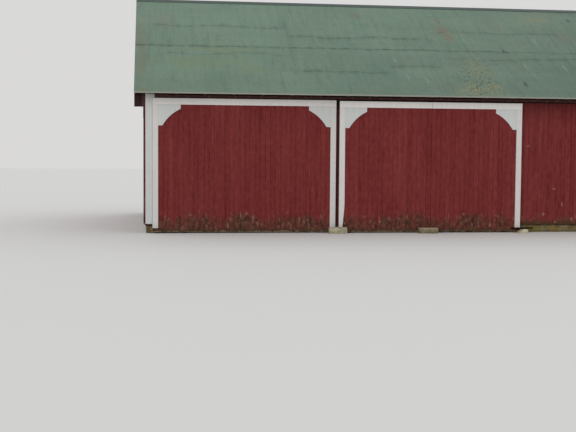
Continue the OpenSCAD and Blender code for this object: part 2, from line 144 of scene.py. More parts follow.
def step_up(tree, value, low, high):
    """0 at `low`, 1 at `high` and a smooth rise between them; `low` may be the larger number."""
    return add_node(tree, "MapRange", {"Value": value, "From Min": low, "From Max": high},
                    interpolation_type="SMOOTHSTEP").outputs[0]


def blend(tree, amount, first, second, mode="MIX"):
    """Blend two colours; returns the resulting colour."""
    return add_node(tree, "Mix", {0: amount, 6: first, 7: second},
                    data_type="RGBA", blend_type=mode).outputs[2]


def coat(tree, colour, mask, strength, paint, mode="MIX"):
    """Lay a paint over a colour where a mask is white, as strongly as given."""
    return blend(tree, calc(tree, "MULTIPLY", mask, strength), colour, paint, mode)


def vector_calc(tree, operation, a, b):
    """One Vector Math node; returns its output."""
    return add_node(tree, "VectorMath", {0: a, 1: b}, operation=operation).outputs[0]


def split(tree, vector):
    """The X, Y and Z outputs of a vector."""
    return add_node(tree, "SeparateXYZ", {0: vector}).outputs


def join(tree, x=0.0, y=0.0, z=0.0):
    """A vector from three values."""
    return add_node(tree, "CombineXYZ", {"X": x, "Y": y, "Z": z}).outputs[0]


def cloud(tree, where, scale, detail=4.0, rough=0.55):
    """A noise value between about 0.2 and 0.8. The scale is one number, or a tuple with one per axis."""
    if isinstance(scale, tuple):
        where, scale = vector_calc(tree, "MULTIPLY", where, scale), 1.0
    return add_node(tree, "TexNoise", {"Vector": where, "Scale": scale, "Detail": detail,
                                       "Roughness": rough}).outputs[0]


print("helpers for single nodes ready")


# %% Helpers for groups and materials
def new_group(name, inputs, outputs):
    """A shader node group; returns the group, its input sockets and its output node."""
    group = bpy.data.node_groups.new(name, "ShaderNodeTree")
    for label, kind, value in inputs:
        socket = group.interface.new_socket(name=label, in_out="INPUT", socket_type="NodeSocket" + kind)
        socket.default_value = value
    for label, kind in outputs:
        group.interface.new_socket(name=label, in_out="OUTPUT", socket_type="NodeSocket" + kind)
    return group, group.nodes.new("NodeGroupInput").outputs, group.nodes.new("NodeGroupOutput")


def use_group(tree, group, inputs):
    """Place a node group in a tree and fill its inputs; returns its outputs."""
    node = tree.nodes.new("ShaderNodeGroup")
    node.node_tree = group
    return fill(tree, node, inputs).outputs


def new_material(name):
    """A material with an empty tree; returns it, its tree and object coordinates in metres."""
    material = bpy.data.materials.new(name)
    material.use_nodes = True
    material.node_tree.nodes.clear()
    where = add_node(material.node_tree, "TexCoord").outputs["Object"]
    return material, material.node_tree, where


def finish_surface(tree, colour, roughness, height=None, depth=0.001, gloss=0.15):
    """Close a material with one Principled BSDF and, if a height is given, a Bump node."""
    surface = add_node(tree, "BsdfPrincipled", {"Base Color": colour, "Roughness": roughness,
                                                "Specular IOR Level": gloss})
    if height is not None:
        bump = add_node(tree, "Bump", {"Height": height, "Distance": depth})
        tree.links.new(bump.outputs[0], surface.inputs["Normal"])
    add_node(tree, "OutputMaterial", {"Surface": surface.outputs[0]})


print("helpers for groups and materials ready")

# %% [markdown]
# ## Light and ground
#
# The photograph was taken under an even grey sky. A pale world lights every side alike, so a colour
# renders about as it is written. A weak, very soft sun gives the doors and the front slope a little
# shape, and a weaker one behind keeps the back wall from going dull. The background that the camera
# sees, also in a reflection, has its own colour, through the Light Path node.

# %% Grey sky
SKY_SEEN = (0.70, 0.695, 0.69, 1)
SKY_LIGHT = (0.97, 0.985, 1.0, 1)
SKY_STRENGTH = 0.74

scene = bpy.context.scene
scene.view_settings.view_transform = "Standard"
world = bpy.data.worlds.new("grey_sky")
scene.world = world
world.use_nodes = True
sky = world.node_tree
sky.nodes.clear()
ray = add_node(sky, "LightPath").outputs
mirrored = calc(sky, "MAXIMUM", ray["Is Glossy Ray"], ray["Is Transmission Ray"])
seen = calc(sky, "MAXIMUM", ray["Is Camera Ray"], mirrored)
light = add_node(sky, "Background", {"Color": SKY_LIGHT, "Strength": SKY_STRENGTH}).outputs[0]
backdrop = add_node(sky, "Background", {"Color": SKY_SEEN}).outputs[0]
either = add_node(sky, "MixShader", {"Fac": seen, 1: light, 2: backdrop}).outputs[0]
add_node(sky, "OutputWorld", {"Surface": either})
print("grey sky ready")


# %% Soft suns and floor
def soft_sun(name, strength, width, tilt, turn):
    """A wide sun; tilt is its angle from straight down and turn its compass angle, in degrees."""
    data = bpy.data.lights.new(name, "SUN")
    data.energy = strength
    data.angle = math.radians(width)
    lamp = bpy.data.objects.new(name, data)
    lamp.rotation_euler = (math.radians(tilt), 0, math.radians(turn))
    bpy.context.collection.objects.link(lamp)


soft_sun("front_sun", 1.2, 45, 76, -22)
soft_sun("back_sun", 0.6, 60, 68, 155)

HALF_FLOOR = 80.0
floor_mesh = bpy.data.meshes.new("pale_floor")
floor_corners = [(x * HALF_FLOOR, y * HALF_FLOOR, 0) for x, y in ((-1, -1), (1, -1), (1, 1), (-1, 1))]
floor_mesh.from_pydata(floor_corners, [], [(0, 1, 2, 3)])
floor = bpy.data.objects.new("pale_floor", floor_mesh)
bpy.context.collection.objects.link(floor)
floor_paint, floor_tree, _ = new_material("pale_floor")
finish_surface(floor_tree, (0.72, 0.71, 0.69, 1), 0.9)
floor.data.materials.append(floor_paint)
print("two suns and a floor ready")

# %% [markdown]
# ## Shared surface effects
#
# Wood grain, run-down streaks, the muddy splash at the foot of a wall, rust and ragged spots are used
# by many finishes, so each is a node group with named inputs. A group gives only masks, heights and
# colours. The shader itself stays in each material.

# %% Node group: wood grain
grain, gin, gout = new_group(
    "Wood grain",
    [("Vector", "Vector", (0, 0, 0)), ("Stretch", "Vector", (60, 60, 2)), ("Board", "Float", 0.0)],
    [("Tone", "Float"), ("Height", "Float"), ("Crack", "Float")])
board_shift = add_node(grain, "VectorMath", {0: (13.0, 7.0, 31.0), "Scale": gin["Board"]},
                       operation="SCALE").outputs[0]
board_place = vector_calc(grain, "ADD", gin["Vector"], board_shift)
grain_place = vector_calc(grain, "MULTIPLY", board_place, gin["Stretch"])
fibres = cloud(grain, grain_place, 1.0, 6.0, 0.65)
bands = cloud(grain, grain_place, (0.25, 0.25, 0.25), 3.0)
grain_tone = weighted(grain, 0.0, (bands, 0.5), (fibres, 0.5))
fill(grain, gout, {"Tone": grain_tone, "Height": fibres, "Crack": step_up(grain, fibres, 0.66, 0.74)})
print("wood grain group ready")

# %% Node group: vertical streaks
streaks, gin, gout = new_group(
    "Run-down streaks",
    [("Vector", "Vector", (0, 0, 0)), ("Across", "Float", 9.0), ("Along", "Float", 0.6),
     ("Amount", "Float", 0.5)],
    [("Mask", "Float")])
streak_scale = join(streaks, gin["Across"], gin["Across"], gin["Along"])
streak_place = vector_calc(streaks, "MULTIPLY", gin["Vector"], streak_scale)
streak_noise = cloud(streaks, streak_place, 1.0, 5.0, 0.6)
streak_low = weighted(streaks, 0.72, (gin["Amount"], -0.4))
streak_high = calc(streaks, "ADD", streak_low, 0.14)
fill(streaks, gout, {"Mask": step_up(streaks, streak_noise, streak_low, streak_high)})
print("streak group ready")

# %% Node group: splash of mud and rot at the foot of a wall
splash, gin, gout = new_group(
    "Foot splash",
    [("Vector", "Vector", (0, 0, 0)), ("Board", "Float", 0.0), ("Top", "Float", 0.42),
     ("Foot", "Float", 0.0)],
    [("Mask", "Float"), ("Flecks", "Float"), ("Damp", "Float")])
height_z = split(splash, gin["Vector"])["Z"]
wide = cloud(splash, gin["Vector"], (1.3, 1.3, 0.4), 3.0)
narrow = cloud(splash, gin["Vector"], (11, 11, 2.2))
rise = weighted(splash, -0.375, (gin["Top"], 1.0), (wide, 0.35), (narrow, 0.40), (gin["Board"], 0.06),
                (height_z, -1.0))
uneven = weighted(splash, 0.84, (step_up(splash, wide, 0.40, 0.62), 0.24),
                  (step_up(splash, narrow, 0.62, 0.40), -0.22))
muddy = calc(splash, "MULTIPLY", step_up(splash, rise, -0.05, 0.16), uneven)
fleck_noise = step_up(splash, cloud(splash, gin["Vector"], (15, 15, 7), 3.0), 0.56, 0.68)
flecks = calc(splash, "MULTIPLY", step_up(splash, rise, -0.10, 0.02), fleck_noise)
damp_rise = weighted(splash, 0.0, (gin["Foot"], 1.0), (narrow, 0.16), (height_z, -1.0))
fill(splash, gout, {"Mask": muddy, "Flecks": flecks, "Damp": step_up(splash, damp_rise, -0.05, 0.05)})
print("splash group ready")

# %% Node group: rust
rust, gin, gout = new_group(
    "Rust", [("Vector", "Vector", (0, 0, 0)), ("Scale", "Float", 12.0), ("Amount", "Float", 0.5)],
    [("Color", "Color"), ("Mask", "Float"), ("Height", "Float")])
rust_noise = cloud(rust, gin["Vector"], gin["Scale"], 6.0, 0.62)
rust_low = weighted(rust, 0.85, (gin["Amount"], -0.6))
rust_mask = step_up(rust, rust_noise, rust_low, calc(rust, "ADD", rust_low, 0.12))
rust_tone = cloud(rust, gin["Vector"], calc(rust, "MULTIPLY", gin["Scale"], 4.0), 3.0)
rust_colour = blend(rust, rust_tone, (0.055, 0.018, 0.010, 1), (0.22, 0.085, 0.035, 1))
fill(rust, gout, {"Color": rust_colour, "Mask": rust_mask, "Height": rust_tone})
print("rust group ready")

# %% Node group: ragged spot
spot, gin, gout = new_group(
    "Ragged spot",
    [("Flat", "Vector", (0, 0, 0)), ("Centre", "Vector", (0, 0, 0)), ("Size", "Vector", (1, 1, 1)),
     ("Ragged", "Float", 3.0)],
    [("Mask", "Float")])
spot_away = vector_calc(spot, "SUBTRACT", gin["Flat"], gin["Centre"])
spot_unit = vector_calc(spot, "DIVIDE", spot_away, gin["Size"])
spot_far = add_node(spot, "VectorMath", {0: spot_unit}, operation="LENGTH").outputs["Value"]
spot_noise = cloud(spot, gin["Flat"], gin["Ragged"], 5.0, 0.65)
spot_rim = weighted(spot, 0.0, (spot_far, 1.0), (spot_noise, 2.4))
fill(spot, gout, {"Mask": step_up(spot, spot_rim, 1.95, 1.45)})


def spot_mask(tree, where, centre, size, ragged):
    """The mask of one ragged spot."""
    return use_group(tree, spot, {"Flat": where, "Centre": centre, "Size": size, "Ragged": ragged})["Mask"]


print("ragged spot group ready")

# %% [markdown]
# ## Painted and bare wood
#
# The boards were painted red long ago. Each board has its own strength of colour, so the material
# reads Random Per Island: every board is a separate island of its mesh. Rain has bared the lower
# ends, where the paint turns grey-brown with pale flecks. White trim is the same idea in white.

# %% Painted board materials
FOOT_DARK, FOOT_PALE = (0.024, 0.0120, 0.0072, 1), (0.110, 0.0460, 0.0275, 1)
FLECK_PAINT = (0.225, 0.112, 0.080, 1)
DAMP_PAINT = (0.052, 0.028, 0.012, 1)
EAVE_SHADE_AND_GRIME = (0.45, 0.42, 0.42, 1)
CHIP_PAINT = (0.26, 0.15, 0.125, 1)


def board_number(tree):
    """A random number that is the same all over one board."""
    return add_node(tree, "NewGeometry").outputs["Random Per Island"]


def painted_boards(name, dark, pale, bare, splash_top, foot_strength=0.72, crack_amount=0.5, wear=0.35,
                   stretch=(60, 60, 2), patchy=0.0, foot_z=0.0, head_z=None, chips=()):
    """Old paint on boards: tone by board, streaks, cracks along the grain and a splashed foot.

    `patchy` adds small uneven patches, `foot_z` is the height of the boards' lower ends, `head_z` that of an
    eave with painted shade and grime below it, and `chips` are places and sizes of spots without paint."""
    material, tree, where = new_material(name)
    board = board_number(tree)
    wood = use_group(tree, grain, {"Vector": where, "Stretch": stretch, "Board": board})
    runs = use_group(tree, streaks, {"Vector": where, "Across": 16.0, "Along": 0.8, "Amount": wear})
    foot = use_group(tree, splash, {"Vector": where, "Board": board, "Top": splash_top, "Foot": foot_z})
    fade = cloud(tree, where, (1.1, 1.1, 0.5), 3.0)
    weathering = cloud(tree, where, (30, 30, 1.4), 5.0, 0.65)
    patches = cloud(tree, where, (14, 14, 8), 5.0, 0.7)
    tone = weighted(tree, -0.85 - patchy / 2, (wood["Tone"], 0.5), (fade, 0.7), (board, 0.24),
                    (weathering, 1.3), (patches, patchy))
    colour = blend(tree, tone, dark, pale)
    colour = coat(tree, colour, runs["Mask"], 0.35, bare)
    colour = coat(tree, colour, wood["Crack"], crack_amount, tuple(c * 0.35 for c in dark[:3]) + (1,))
    # Painted shade and grime: the boards darken towards the eave above them.
    if head_z:
        height = weighted(tree, 0.0, (split(tree, where)["Z"], 1.0), (patches, 0.3))
        eave_shade_and_grime = step_up(tree, height, head_z - 0.45, head_z + 0.2)
        colour = coat(tree, colour, eave_shade_and_grime, 0.5, EAVE_SHADE_AND_GRIME, "MULTIPLY")
    foot_tone = blend(tree, step_up(tree, patches, 0.36, 0.62), FOOT_DARK, FOOT_PALE)
    colour = coat(tree, colour, foot["Mask"], foot_strength, foot_tone)
    colour = coat(tree, colour, foot["Flecks"], foot_strength * 0.75, FLECK_PAINT)
    colour = coat(tree, colour, foot["Damp"], foot_strength * 1.1, DAMP_PAINT)
    for centre, size in chips:
        colour = coat(tree, colour, spot_mask(tree, where, centre, size, 30.0), 0.7, CHIP_PAINT)
    roughness = weighted(tree, 0.62, (wood["Height"], 0.25))
    finish_surface(tree, colour, roughness, wood["Height"], 0.0016)
    return material


print("painted boards can be mixed")

# %% Red paint of doors and walls
WALL_FOOT, WALL_HEAD = (corner.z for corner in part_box("front_siding"))
WALL_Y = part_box("front_siding")[0].y
NO_SPLASH = -5.0
CHIP_DEPTH = 0.05
WALL_CHIPS = [((x, WALL_Y, z), (wide, CHIP_DEPTH, tall)) for x, z, wide, tall in (
    (2.63, 0.40, 0.05, 0.07), (2.91, 0.22, 0.06, 0.04), (3.28, 0.29, 0.05, 0.05), (2.25, 1.90, 0.05, 0.04),
    (2.86, 0.95, 0.06, 0.03), (3.05, 0.62, 0.03, 0.10), (4.40, 0.31, 0.05, 0.06), (5.20, 1.20, 0.05, 0.05))]
WALL_PAINT = ((0.102, 0.0080, 0.0077, 1), (0.198, 0.0346, 0.0332, 1), (0.130, 0.055, 0.046, 1))
red_doors = painted_boards("red_door_paint", (0.099, 0.0072, 0.0069, 1), (0.191, 0.0315, 0.0300, 1),
                           (0.115, 0.045, 0.037, 1), 0.36, foot_strength=0.86, patchy=1.5)
red_walls = painted_boards("red_wall_paint", *WALL_PAINT, 0.32, patchy=1.5, foot_z=WALL_FOOT,
                           head_z=WALL_HEAD, chips=WALL_CHIPS)
red_gables = painted_boards("red_gable_paint", *WALL_PAINT, 0.32, patchy=1.5, foot_z=WALL_FOOT)
dark_red = painted_boards("dark_red_paint", (0.050, 0.012, 0.011, 1), (0.090, 0.022, 0.020, 1),
                          (0.075, 0.045, 0.035, 1), NO_SPLASH)
print("red paints ready")

# %% White paint of trim
WHITE_BARE = (0.33, 0.31, 0.28, 1)
SOUND_PAINT = {"crack_amount": 0.15, "wear": 0.18}
white_trim = painted_boards("white_trim_paint", (0.455, 0.465, 0.455, 1), (0.555, 0.565, 0.55, 1),
                            WHITE_BARE, 0.16, foot_strength=0.25, **SOUND_PAINT)
white_stile = painted_boards("white_stile_paint", (0.505, 0.482, 0.463, 1), (0.615, 0.588, 0.567, 1),
                             WHITE_BARE, 0.16, foot_strength=0.25, **SOUND_PAINT)
# The head rails get a lighter white than the stiles and brackets: painted light that makes up for the shade
# of the eave and track above them.
lit_white_rail = painted_boards("lit_white_rail_paint", (0.575, 0.55, 0.53, 1), (0.68, 0.655, 0.63, 1),
                            (0.42, 0.36, 0.32, 1), NO_SPLASH, stretch=(2, 60, 60), **SOUND_PAINT)
print("white paints ready")


# %% Bare timber materials
def bare_timber(name, dark, pale, stretch, old_paint=None):
    """Sawn timber with grain along one axis, by the stretch that leaves that axis slow.

    `old_paint` is a stretch along X that has kept its paint, and the paint's colour."""
    material, tree, where = new_material(name)
    wood = use_group(tree, grain, {"Vector": where, "Stretch": stretch, "Board": board_number(tree)})
    blotches = cloud(tree, where, 1.7, 3.0)
    colour = blend(tree, weighted(tree, 0.0, (wood["Tone"], 0.7), (blotches, 0.4)), dark, pale)
    colour = coat(tree, colour, wood["Crack"], 0.6, (0.02, 0.014, 0.010, 1))
    if old_paint:
        (start, end), paint = old_paint
        along = split(tree, where)["X"]
        kept = calc(tree, "MULTIPLY", step_up(tree, along, start - 0.01, start + 0.01),
                    step_up(tree, along, end + 0.01, end - 0.01))
        colour = coat(tree, colour, kept, wood["Tone"], paint)
    finish_surface(tree, colour, 0.8, wood["Height"], 0.0025)
    return material


TIMBER_TONES = ((0.085, 0.060, 0.040, 1), (0.27, 0.20, 0.135, 1))
UPRIGHT, ALONG, ACROSS = (45, 45, 1.5), (1.5, 45, 45), (45, 1.5, 45)
timber_up = bare_timber("timber_upright", *TIMBER_TONES, UPRIGHT)
timber_along = bare_timber("timber_along", *TIMBER_TONES, ALONG)
timber_across = bare_timber("timber_across", *TIMBER_TONES, ACROSS)
board_backs = bare_timber("board_backs", (0.070, 0.050, 0.034, 1), (0.215, 0.160, 0.110, 1), UPRIGHT)
plate_timber = bare_timber("plate_timber", (0.008, 0.005, 0.005, 1), (0.038, 0.016, 0.013, 1), ALONG,
                           old_paint=((-6.17, -6.08), (0.115, 0.048, 0.044, 1)))
roof_timber = bare_timber("roof_timber", (0.11, 0.080, 0.052, 1), (0.30, 0.23, 0.15, 1), (1.5, 40, 40))
print("bare timber ready")

# %% [markdown]
# ## Roof paint, metal and masonry
#
# The sheet-metal roof has kept its green paint, but it is chalky and blotched. Every sheet has aged
# a little differently. Dirt draws a dark, wavy line along the lap of the long sheets and along the
# ends of shorter ones, and the two seams between batches of sheets are dark as well. Rust and a
# yellow-brown stain show in a few places. All of this is placed in two numbers that a roofer would
# use: metres along the roof from the left corner and metres up the slope from the eave.

# %% Node group: place on the roof
ROOF_ANGLE = math.radians(31.1)
SLOPE_COS, SLOPE_SIN = math.cos(ROOF_ANGLE), math.sin(ROOF_ANGLE)
HALF_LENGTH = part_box("foundation")[1].x
roof_place, gin, gout = new_group(
    "Roof place", [("Vector", "Vector", (0, 0, 0))],
    [("Along", "Float"), ("Up", "Float"), ("Flat", "Vector")])
roof_xyz = split(roof_place, gin["Vector"])
roof_along = calc(roof_place, "ADD", roof_xyz["X"], HALF_LENGTH)
from_ridge = calc(roof_place, "ABSOLUTE", roof_xyz["Y"])
roof_up = weighted(roof_place, cad_high.y / SLOPE_COS, (from_ridge, -1 / SLOPE_COS))
roof_flat = join(roof_place, roof_along, roof_up, calc(roof_place, "SIGN", roof_xyz["Y"]))
fill(roof_place, gout, {"Along": roof_along, "Up": roof_up, "Flat": roof_flat})
print("roof place group ready")

# %% Node group: wavy line of dirt
wavy, gin, gout = new_group(
    "Wavy line",
    [("Along", "Float", 0.0), ("Across", "Float", 0.0), ("Height", "Float", 1.0), ("From", "Float", 0.0),
     ("To", "Float", 1.0), ("Width", "Float", 0.03), ("Wave", "Float", 0.75)],
    [("Mask", "Float")])
bend = cloud(wavy, join(wavy, gin["Along"], gin["Height"]), 0.9, 4.0, 0.6)
middle_line = weighted(wavy, gin["Height"], (calc(wavy, "SUBTRACT", bend, 0.5), gin["Wave"]))
line_far = calc(wavy, "ABSOLUTE", calc(wavy, "SUBTRACT", gin["Across"], middle_line))
core = step_up(wavy, line_far, gin["Width"], 0.0)
halo = step_up(wavy, line_far, calc(wavy, "MULTIPLY", gin["Width"], 4.0), 0.0)
gaps = cloud(wavy, join(wavy, gin["Along"], z=gin["Height"]), 5.0, 3.0)
broken = weighted(wavy, 0.25, (step_up(wavy, gaps, 0.35, 0.62), 0.75))
begun = step_up(wavy, calc(wavy, "SUBTRACT", gin["Along"], gin["From"]), -0.04, 0.04)
not_ended = step_up(wavy, calc(wavy, "SUBTRACT", gin["To"], gin["Along"]), -0.04, 0.04)
line = calc(wavy, "MULTIPLY", weighted(wavy, 0.0, (core, 0.7), (halo, 0.3)), broken)
fill(wavy, gout, {"Mask": calc(wavy, "MULTIPLY", line, calc(wavy, "MULTIPLY", begun, not_ended))})
print("wavy line group ready")

# %% Sheets, laps and marks of the roof
SEAM_PITCH = 0.565
SEAM_FIRST = 0.10
LAP_UP = 2.23
LAP_LINES = [  # height up the slope, from, to, half width, strength, wave
    (LAP_UP, -0.3, 8.4, 0.036, 0.80, 0.28), (LAP_UP, 8.4, 12.6, 0.036, 0.48, 0.28),
    (3.30, 0.15, 3.24, 0.055, 0.55, 0.45), (1.87, 0.3, 3.24, 0.06, 0.34, 0.50),
    (2.84, 3.30, 6.60, 0.055, 0.66, 0.50), (1.06, 3.40, 5.40, 0.06, 0.60, 0.50),
    (1.40, 5.40, 6.60, 0.06, 0.55, 0.50), (3.25, 6.90, 9.90, 0.06, 0.42, 0.50),
    (1.83, 6.80, 8.70, 0.09, 0.36, 0.50), (1.83, 8.70, 12.6, 0.09, 0.58, 0.50)]
SEAM_LINES = [(3.25, 0.9, 4.0, 0.05, 0.30, 0.04), (6.60, 0.8, 4.4, 0.04, 0.18, 0.04)]
DENT_HIGHLIGHT = (0.245, 0.305, 0.245, 1)
BLACK_SPOT = (0.035, 0.040, 0.030, 1)
ROOF_PATCHES = [  # middle (along, up), size (along, up), raggedness, paint, strength
    ((7.06, 3.95), (0.13, 0.22), 7.0, (0.17, 0.14, 0.085, 1), 0.6),
    ((7.06, 3.40), (0.20, 0.42), 6.0, (0.200, 0.115, 0.085, 1), 0.45),
    ((7.12, 2.95), (0.20, 0.40), 7.0, (0.19, 0.140, 0.090, 1), 0.45),
    ((1.60, 2.05), (1.30, 0.22), 5.0, (0.170, 0.215, 0.110, 1), 0.55),
    ((1.20, 1.45), (1.60, 0.50), 3.0, (0.165, 0.215, 0.120, 1), 0.45),
    ((2.30, 1.10), (0.80, 0.40), 3.0, (0.165, 0.210, 0.120, 1), 0.40),
    ((8.30, 0.62), (0.06, 0.22), 9.0, (0.030, 0.036, 0.026, 1), 0.8),
    ((8.28, 2.26), (0.08, 0.16), 9.0, BLACK_SPOT, 0.7),
    ((10.5, 4.15), (0.07, 0.20), 9.0, BLACK_SPOT, 0.7),
    ((9.62, 4.20), (0.55, 0.40), 6.0, (0.21, 0.215, 0.120, 1), 0.28),
    ((5.05, 4.10), (0.20, 0.20), 9.0, (0.17, 0.13, 0.085, 1), 0.5),
    ((10.05, 3.10), (0.45, 0.60), 6.0, (0.16, 0.125, 0.110, 1), 0.25),
    ((8.41, 3.93), (0.30, 0.80), 5.0, (0.16, 0.130, 0.110, 1), 0.25),
    ((9.80, 0.95), (2.60, 1.50), 2.0, (0.095, 0.150, 0.118, 1), 0.42),
    ((5.10, 1.00), (0.90, 1.00), 2.0, (0.100, 0.165, 0.130, 1), 0.30),
    ((-0.10, 2.20), (0.22, 3.60), 2.5, (0.17, 0.165, 0.115, 1), 0.45),
    ((0.45, 3.60), (0.45, 0.80), 2.5, (0.19, 0.200, 0.155, 1), 0.4)]
# Narrow pale streaks: painted highlights where light catches dents in the sheets.
ROOF_PATCHES += [((u, v), (wide, tall), 12.0, DENT_HIGHLIGHT, strength) for u, v, wide, tall, strength in (
    (7.45, 2.85, 0.045, 0.34, 0.45), (8.57, 1.52, 0.045, 0.34, 0.50), (9.50, 1.46, 0.045, 0.36, 0.50),
    (9.22, 2.82, 0.045, 0.34, 0.45), (6.10, 0.74, 0.040, 0.34, 0.40), (5.70, 0.87, 0.040, 0.30, 0.40),
    (5.57, 1.70, 0.050, 0.20, 0.40))]
RUST_SPECKS = [  # middle (along, up), size (along, up), raggedness, paint, strength, threshold
    ((7.36, 1.30), (0.46, 1.15), 5.0, (0.225, 0.217, 0.120, 1), 0.60, 0.48),
    ((7.20, 0.30), (0.90, 0.55), 5.0, (0.235, 0.217, 0.115, 1), 0.62, 0.47),
    ((7.28, 0.75), (0.70, 1.30), 4.0, (0.030, 0.034, 0.022, 1), 0.65, 0.55),
    ((7.05, 3.45), (0.50, 1.10), 5.0, (0.205, 0.130, 0.085, 1), 0.55, 0.54),
    ((6.98, 3.95), (0.45, 0.60), 5.0, (0.055, 0.045, 0.030, 1), 0.60, 0.58),
    ((9.62, 4.15), (0.80, 0.55), 4.0, (0.225, 0.210, 0.115, 1), 0.60, 0.54),
    ((9.60, 3.10), (2.30, 1.50), 4.0, (0.050, 0.045, 0.032, 1), 0.50, 0.62)]
print(f"{len(ROOF_PATCHES)} patches and {len(RUST_SPECKS)} speckled areas on the roof")

# %% Green roof paint
ROOF_GREEN, ROOF_PALE = (0.135, 0.221, 0.163, 1), (0.175, 0.259, 0.196, 1)
ROOF_SHADE, ROOF_GRIME_AND_SHADE = (0.42, 0.42, 0.42, 1), (0.035, 0.058, 0.042, 1)
ROOF_NOISES = {  # scale along, up and across, detail, roughness
    "runs": ((8, 1.0, 1), 5.0, 0.65), "mottle": ((5, 3, 1), 6.0, 0.7), "fine": ((26, 13, 1), 4.0, 0.6)}
ROOF_TONES = [  # noise, where it starts and is full, strength, paint
    ("runs", 0.50, 0.70, 0.40, (0.215, 0.262, 0.190, 1)),
    ("runs", 0.50, 0.30, 0.36, (0.079, 0.139, 0.101, 1)),
    ("mottle", 0.50, 0.68, 0.50, (0.185, 0.215, 0.130, 1)),
    ("mottle", 0.48, 0.32, 0.40, (0.140, 0.150, 0.130, 1)),
    ("fine", 0.54, 0.70, 0.50, (0.150, 0.152, 0.105, 1)),
    ("fine", 0.46, 0.30, 0.50, (0.225, 0.300, 0.235, 1))]


def roof_marks(tree, colour, flat, along, up):
    """Adds the front slope's own patches, painted highlights on dents, rust specks, grime lines and a band
    of painted shade and grime along the eave to a colour.
    """
    for middle, size, ragged, paint, strength in ROOF_PATCHES:
        mask = spot_mask(tree, flat, (*middle, -1), (*size, 1), ragged)
        colour = coat(tree, colour, mask, strength, paint)
    speck_noise = cloud(tree, flat, (17, 9, 1), 4.0, 0.62)
    for middle, size, ragged, paint, strength, threshold in RUST_SPECKS:
        mask = spot_mask(tree, flat, (*middle, -1), (*size, 1), ragged)
        specks = step_up(tree, speck_noise, threshold - 0.02, threshold + 0.05)
        colour = coat(tree, colour, calc(tree, "MULTIPLY", mask, specks), strength, paint)
        speck_noise = calc(tree, "SUBTRACT", 1.0, speck_noise)
    # Painted shade and grime: a dark band along the sheets' lowest few centimetres, where they overhang the
    # drip edge.
    grime_and_eave_shade = calc(tree, "MULTIPLY", step_up(tree, up, 0.055, 0.015), 0.5)
    for lines, run, aside in ((LAP_LINES, along, up), (SEAM_LINES, up, along)):
        for height, start, end, width, strength, wave in lines:
            mask = use_group(tree, wavy, {"Along": run, "Across": aside, "Height": height, "From": start,
                                          "To": end, "Width": width, "Wave": wave})["Mask"]
            grime_and_eave_shade = calc(tree, "MAXIMUM", grime_and_eave_shade, calc(tree, "MULTIPLY", mask, strength))
    return blend(tree, grime_and_eave_shade, colour, ROOF_GRIME_AND_SHADE)


def roof_paint(name, with_marks):
    """Chalky green paint on sheets, each of its own tone and darker towards the right end."""
    material, tree, where = new_material(name)
    place = use_group(tree, roof_place, {"Vector": where})
    flat, along, up = place["Flat"], place["Along"], place["Up"]
    sheet = calc(tree, "FLOOR", calc(tree, "DIVIDE", calc(tree, "SUBTRACT", along, SEAM_FIRST), SEAM_PITCH))
    seed = join(tree, sheet, calc(tree, "GREATER_THAN", up, LAP_UP))
    sheet_tone = add_node(tree, "TexWhiteNoise", {"Vector": seed}, noise_dimensions="2D").outputs["Value"]
    blotch = cloud(tree, flat, (0.9, 0.9, 1), 5.0, 0.6)
    colour = blend(tree, weighted(tree, -0.36, (sheet_tone, 0.45), (blotch, 1.2)), ROOF_GREEN, ROOF_PALE)
    noises = {label: cloud(tree, flat, *values) for label, values in ROOF_NOISES.items()}
    for label, start, full, strength, paint in ROOF_TONES:
        colour = coat(tree, colour, step_up(tree, noises[label], start, full), strength, paint)
    broad = cloud(tree, flat, (0.35, 1.5, 1), 3.0)
    shade = weighted(tree, 0.0, (up, -0.045), (broad, 0.5), (step_up(tree, along, 1.0, 12.5), 0.27))
    colour = blend(tree, shade, colour, ROOF_SHADE, "MULTIPLY")
    if with_marks:
        colour = roof_marks(tree, colour, flat, along, up)
    finish_surface(tree, colour, weighted(tree, 0.5, (blotch, 0.2)), noises["fine"], 0.0006)
    return material


green_front = roof_paint("green_roof_front", True)
green_back = roof_paint("green_roof_back", False)
print("roof paint ready")


# %% Metal materials
def worn_metal(name, paint, rust_amount, rough=0.55, scale=12.0, gloss=0.3):
    """Paint or mill scale on iron, with rust breaking through."""
    material, tree, where = new_material(name)
    spots = use_group(tree, rust, {"Vector": where, "Scale": scale, "Amount": rust_amount})
    base = blend(tree, cloud(tree, where, 6.0, 3.0), tuple(c * 0.8 for c in paint[:3]) + (1,), paint)
    colour = blend(tree, spots["Mask"], base, spots["Color"])
    finish_surface(tree, colour, weighted(tree, rough, (spots["Mask"], 0.3)), spots["Height"], 0.0008, gloss)
    return material


cap_metal = worn_metal("dark_green_ridge_cap", (0.061, 0.086, 0.076, 1), 0.15)
drip_metal = worn_metal("drip_edge_metal", (0.27, 0.265, 0.225, 1), 0.25)
track_metal = worn_metal("track_metal", (0.046, 0.014, 0.012, 1), 0.55, 0.7, 16.0)
black_iron = worn_metal("black_iron", (0.0045, 0.0036, 0.003, 1), 0.12, 0.8, 20.0, 0.05)
nail_metal = worn_metal("nail_heads", (0.05, 0.035, 0.03, 1), 0.8, 0.7, 60.0)
print("metals ready")


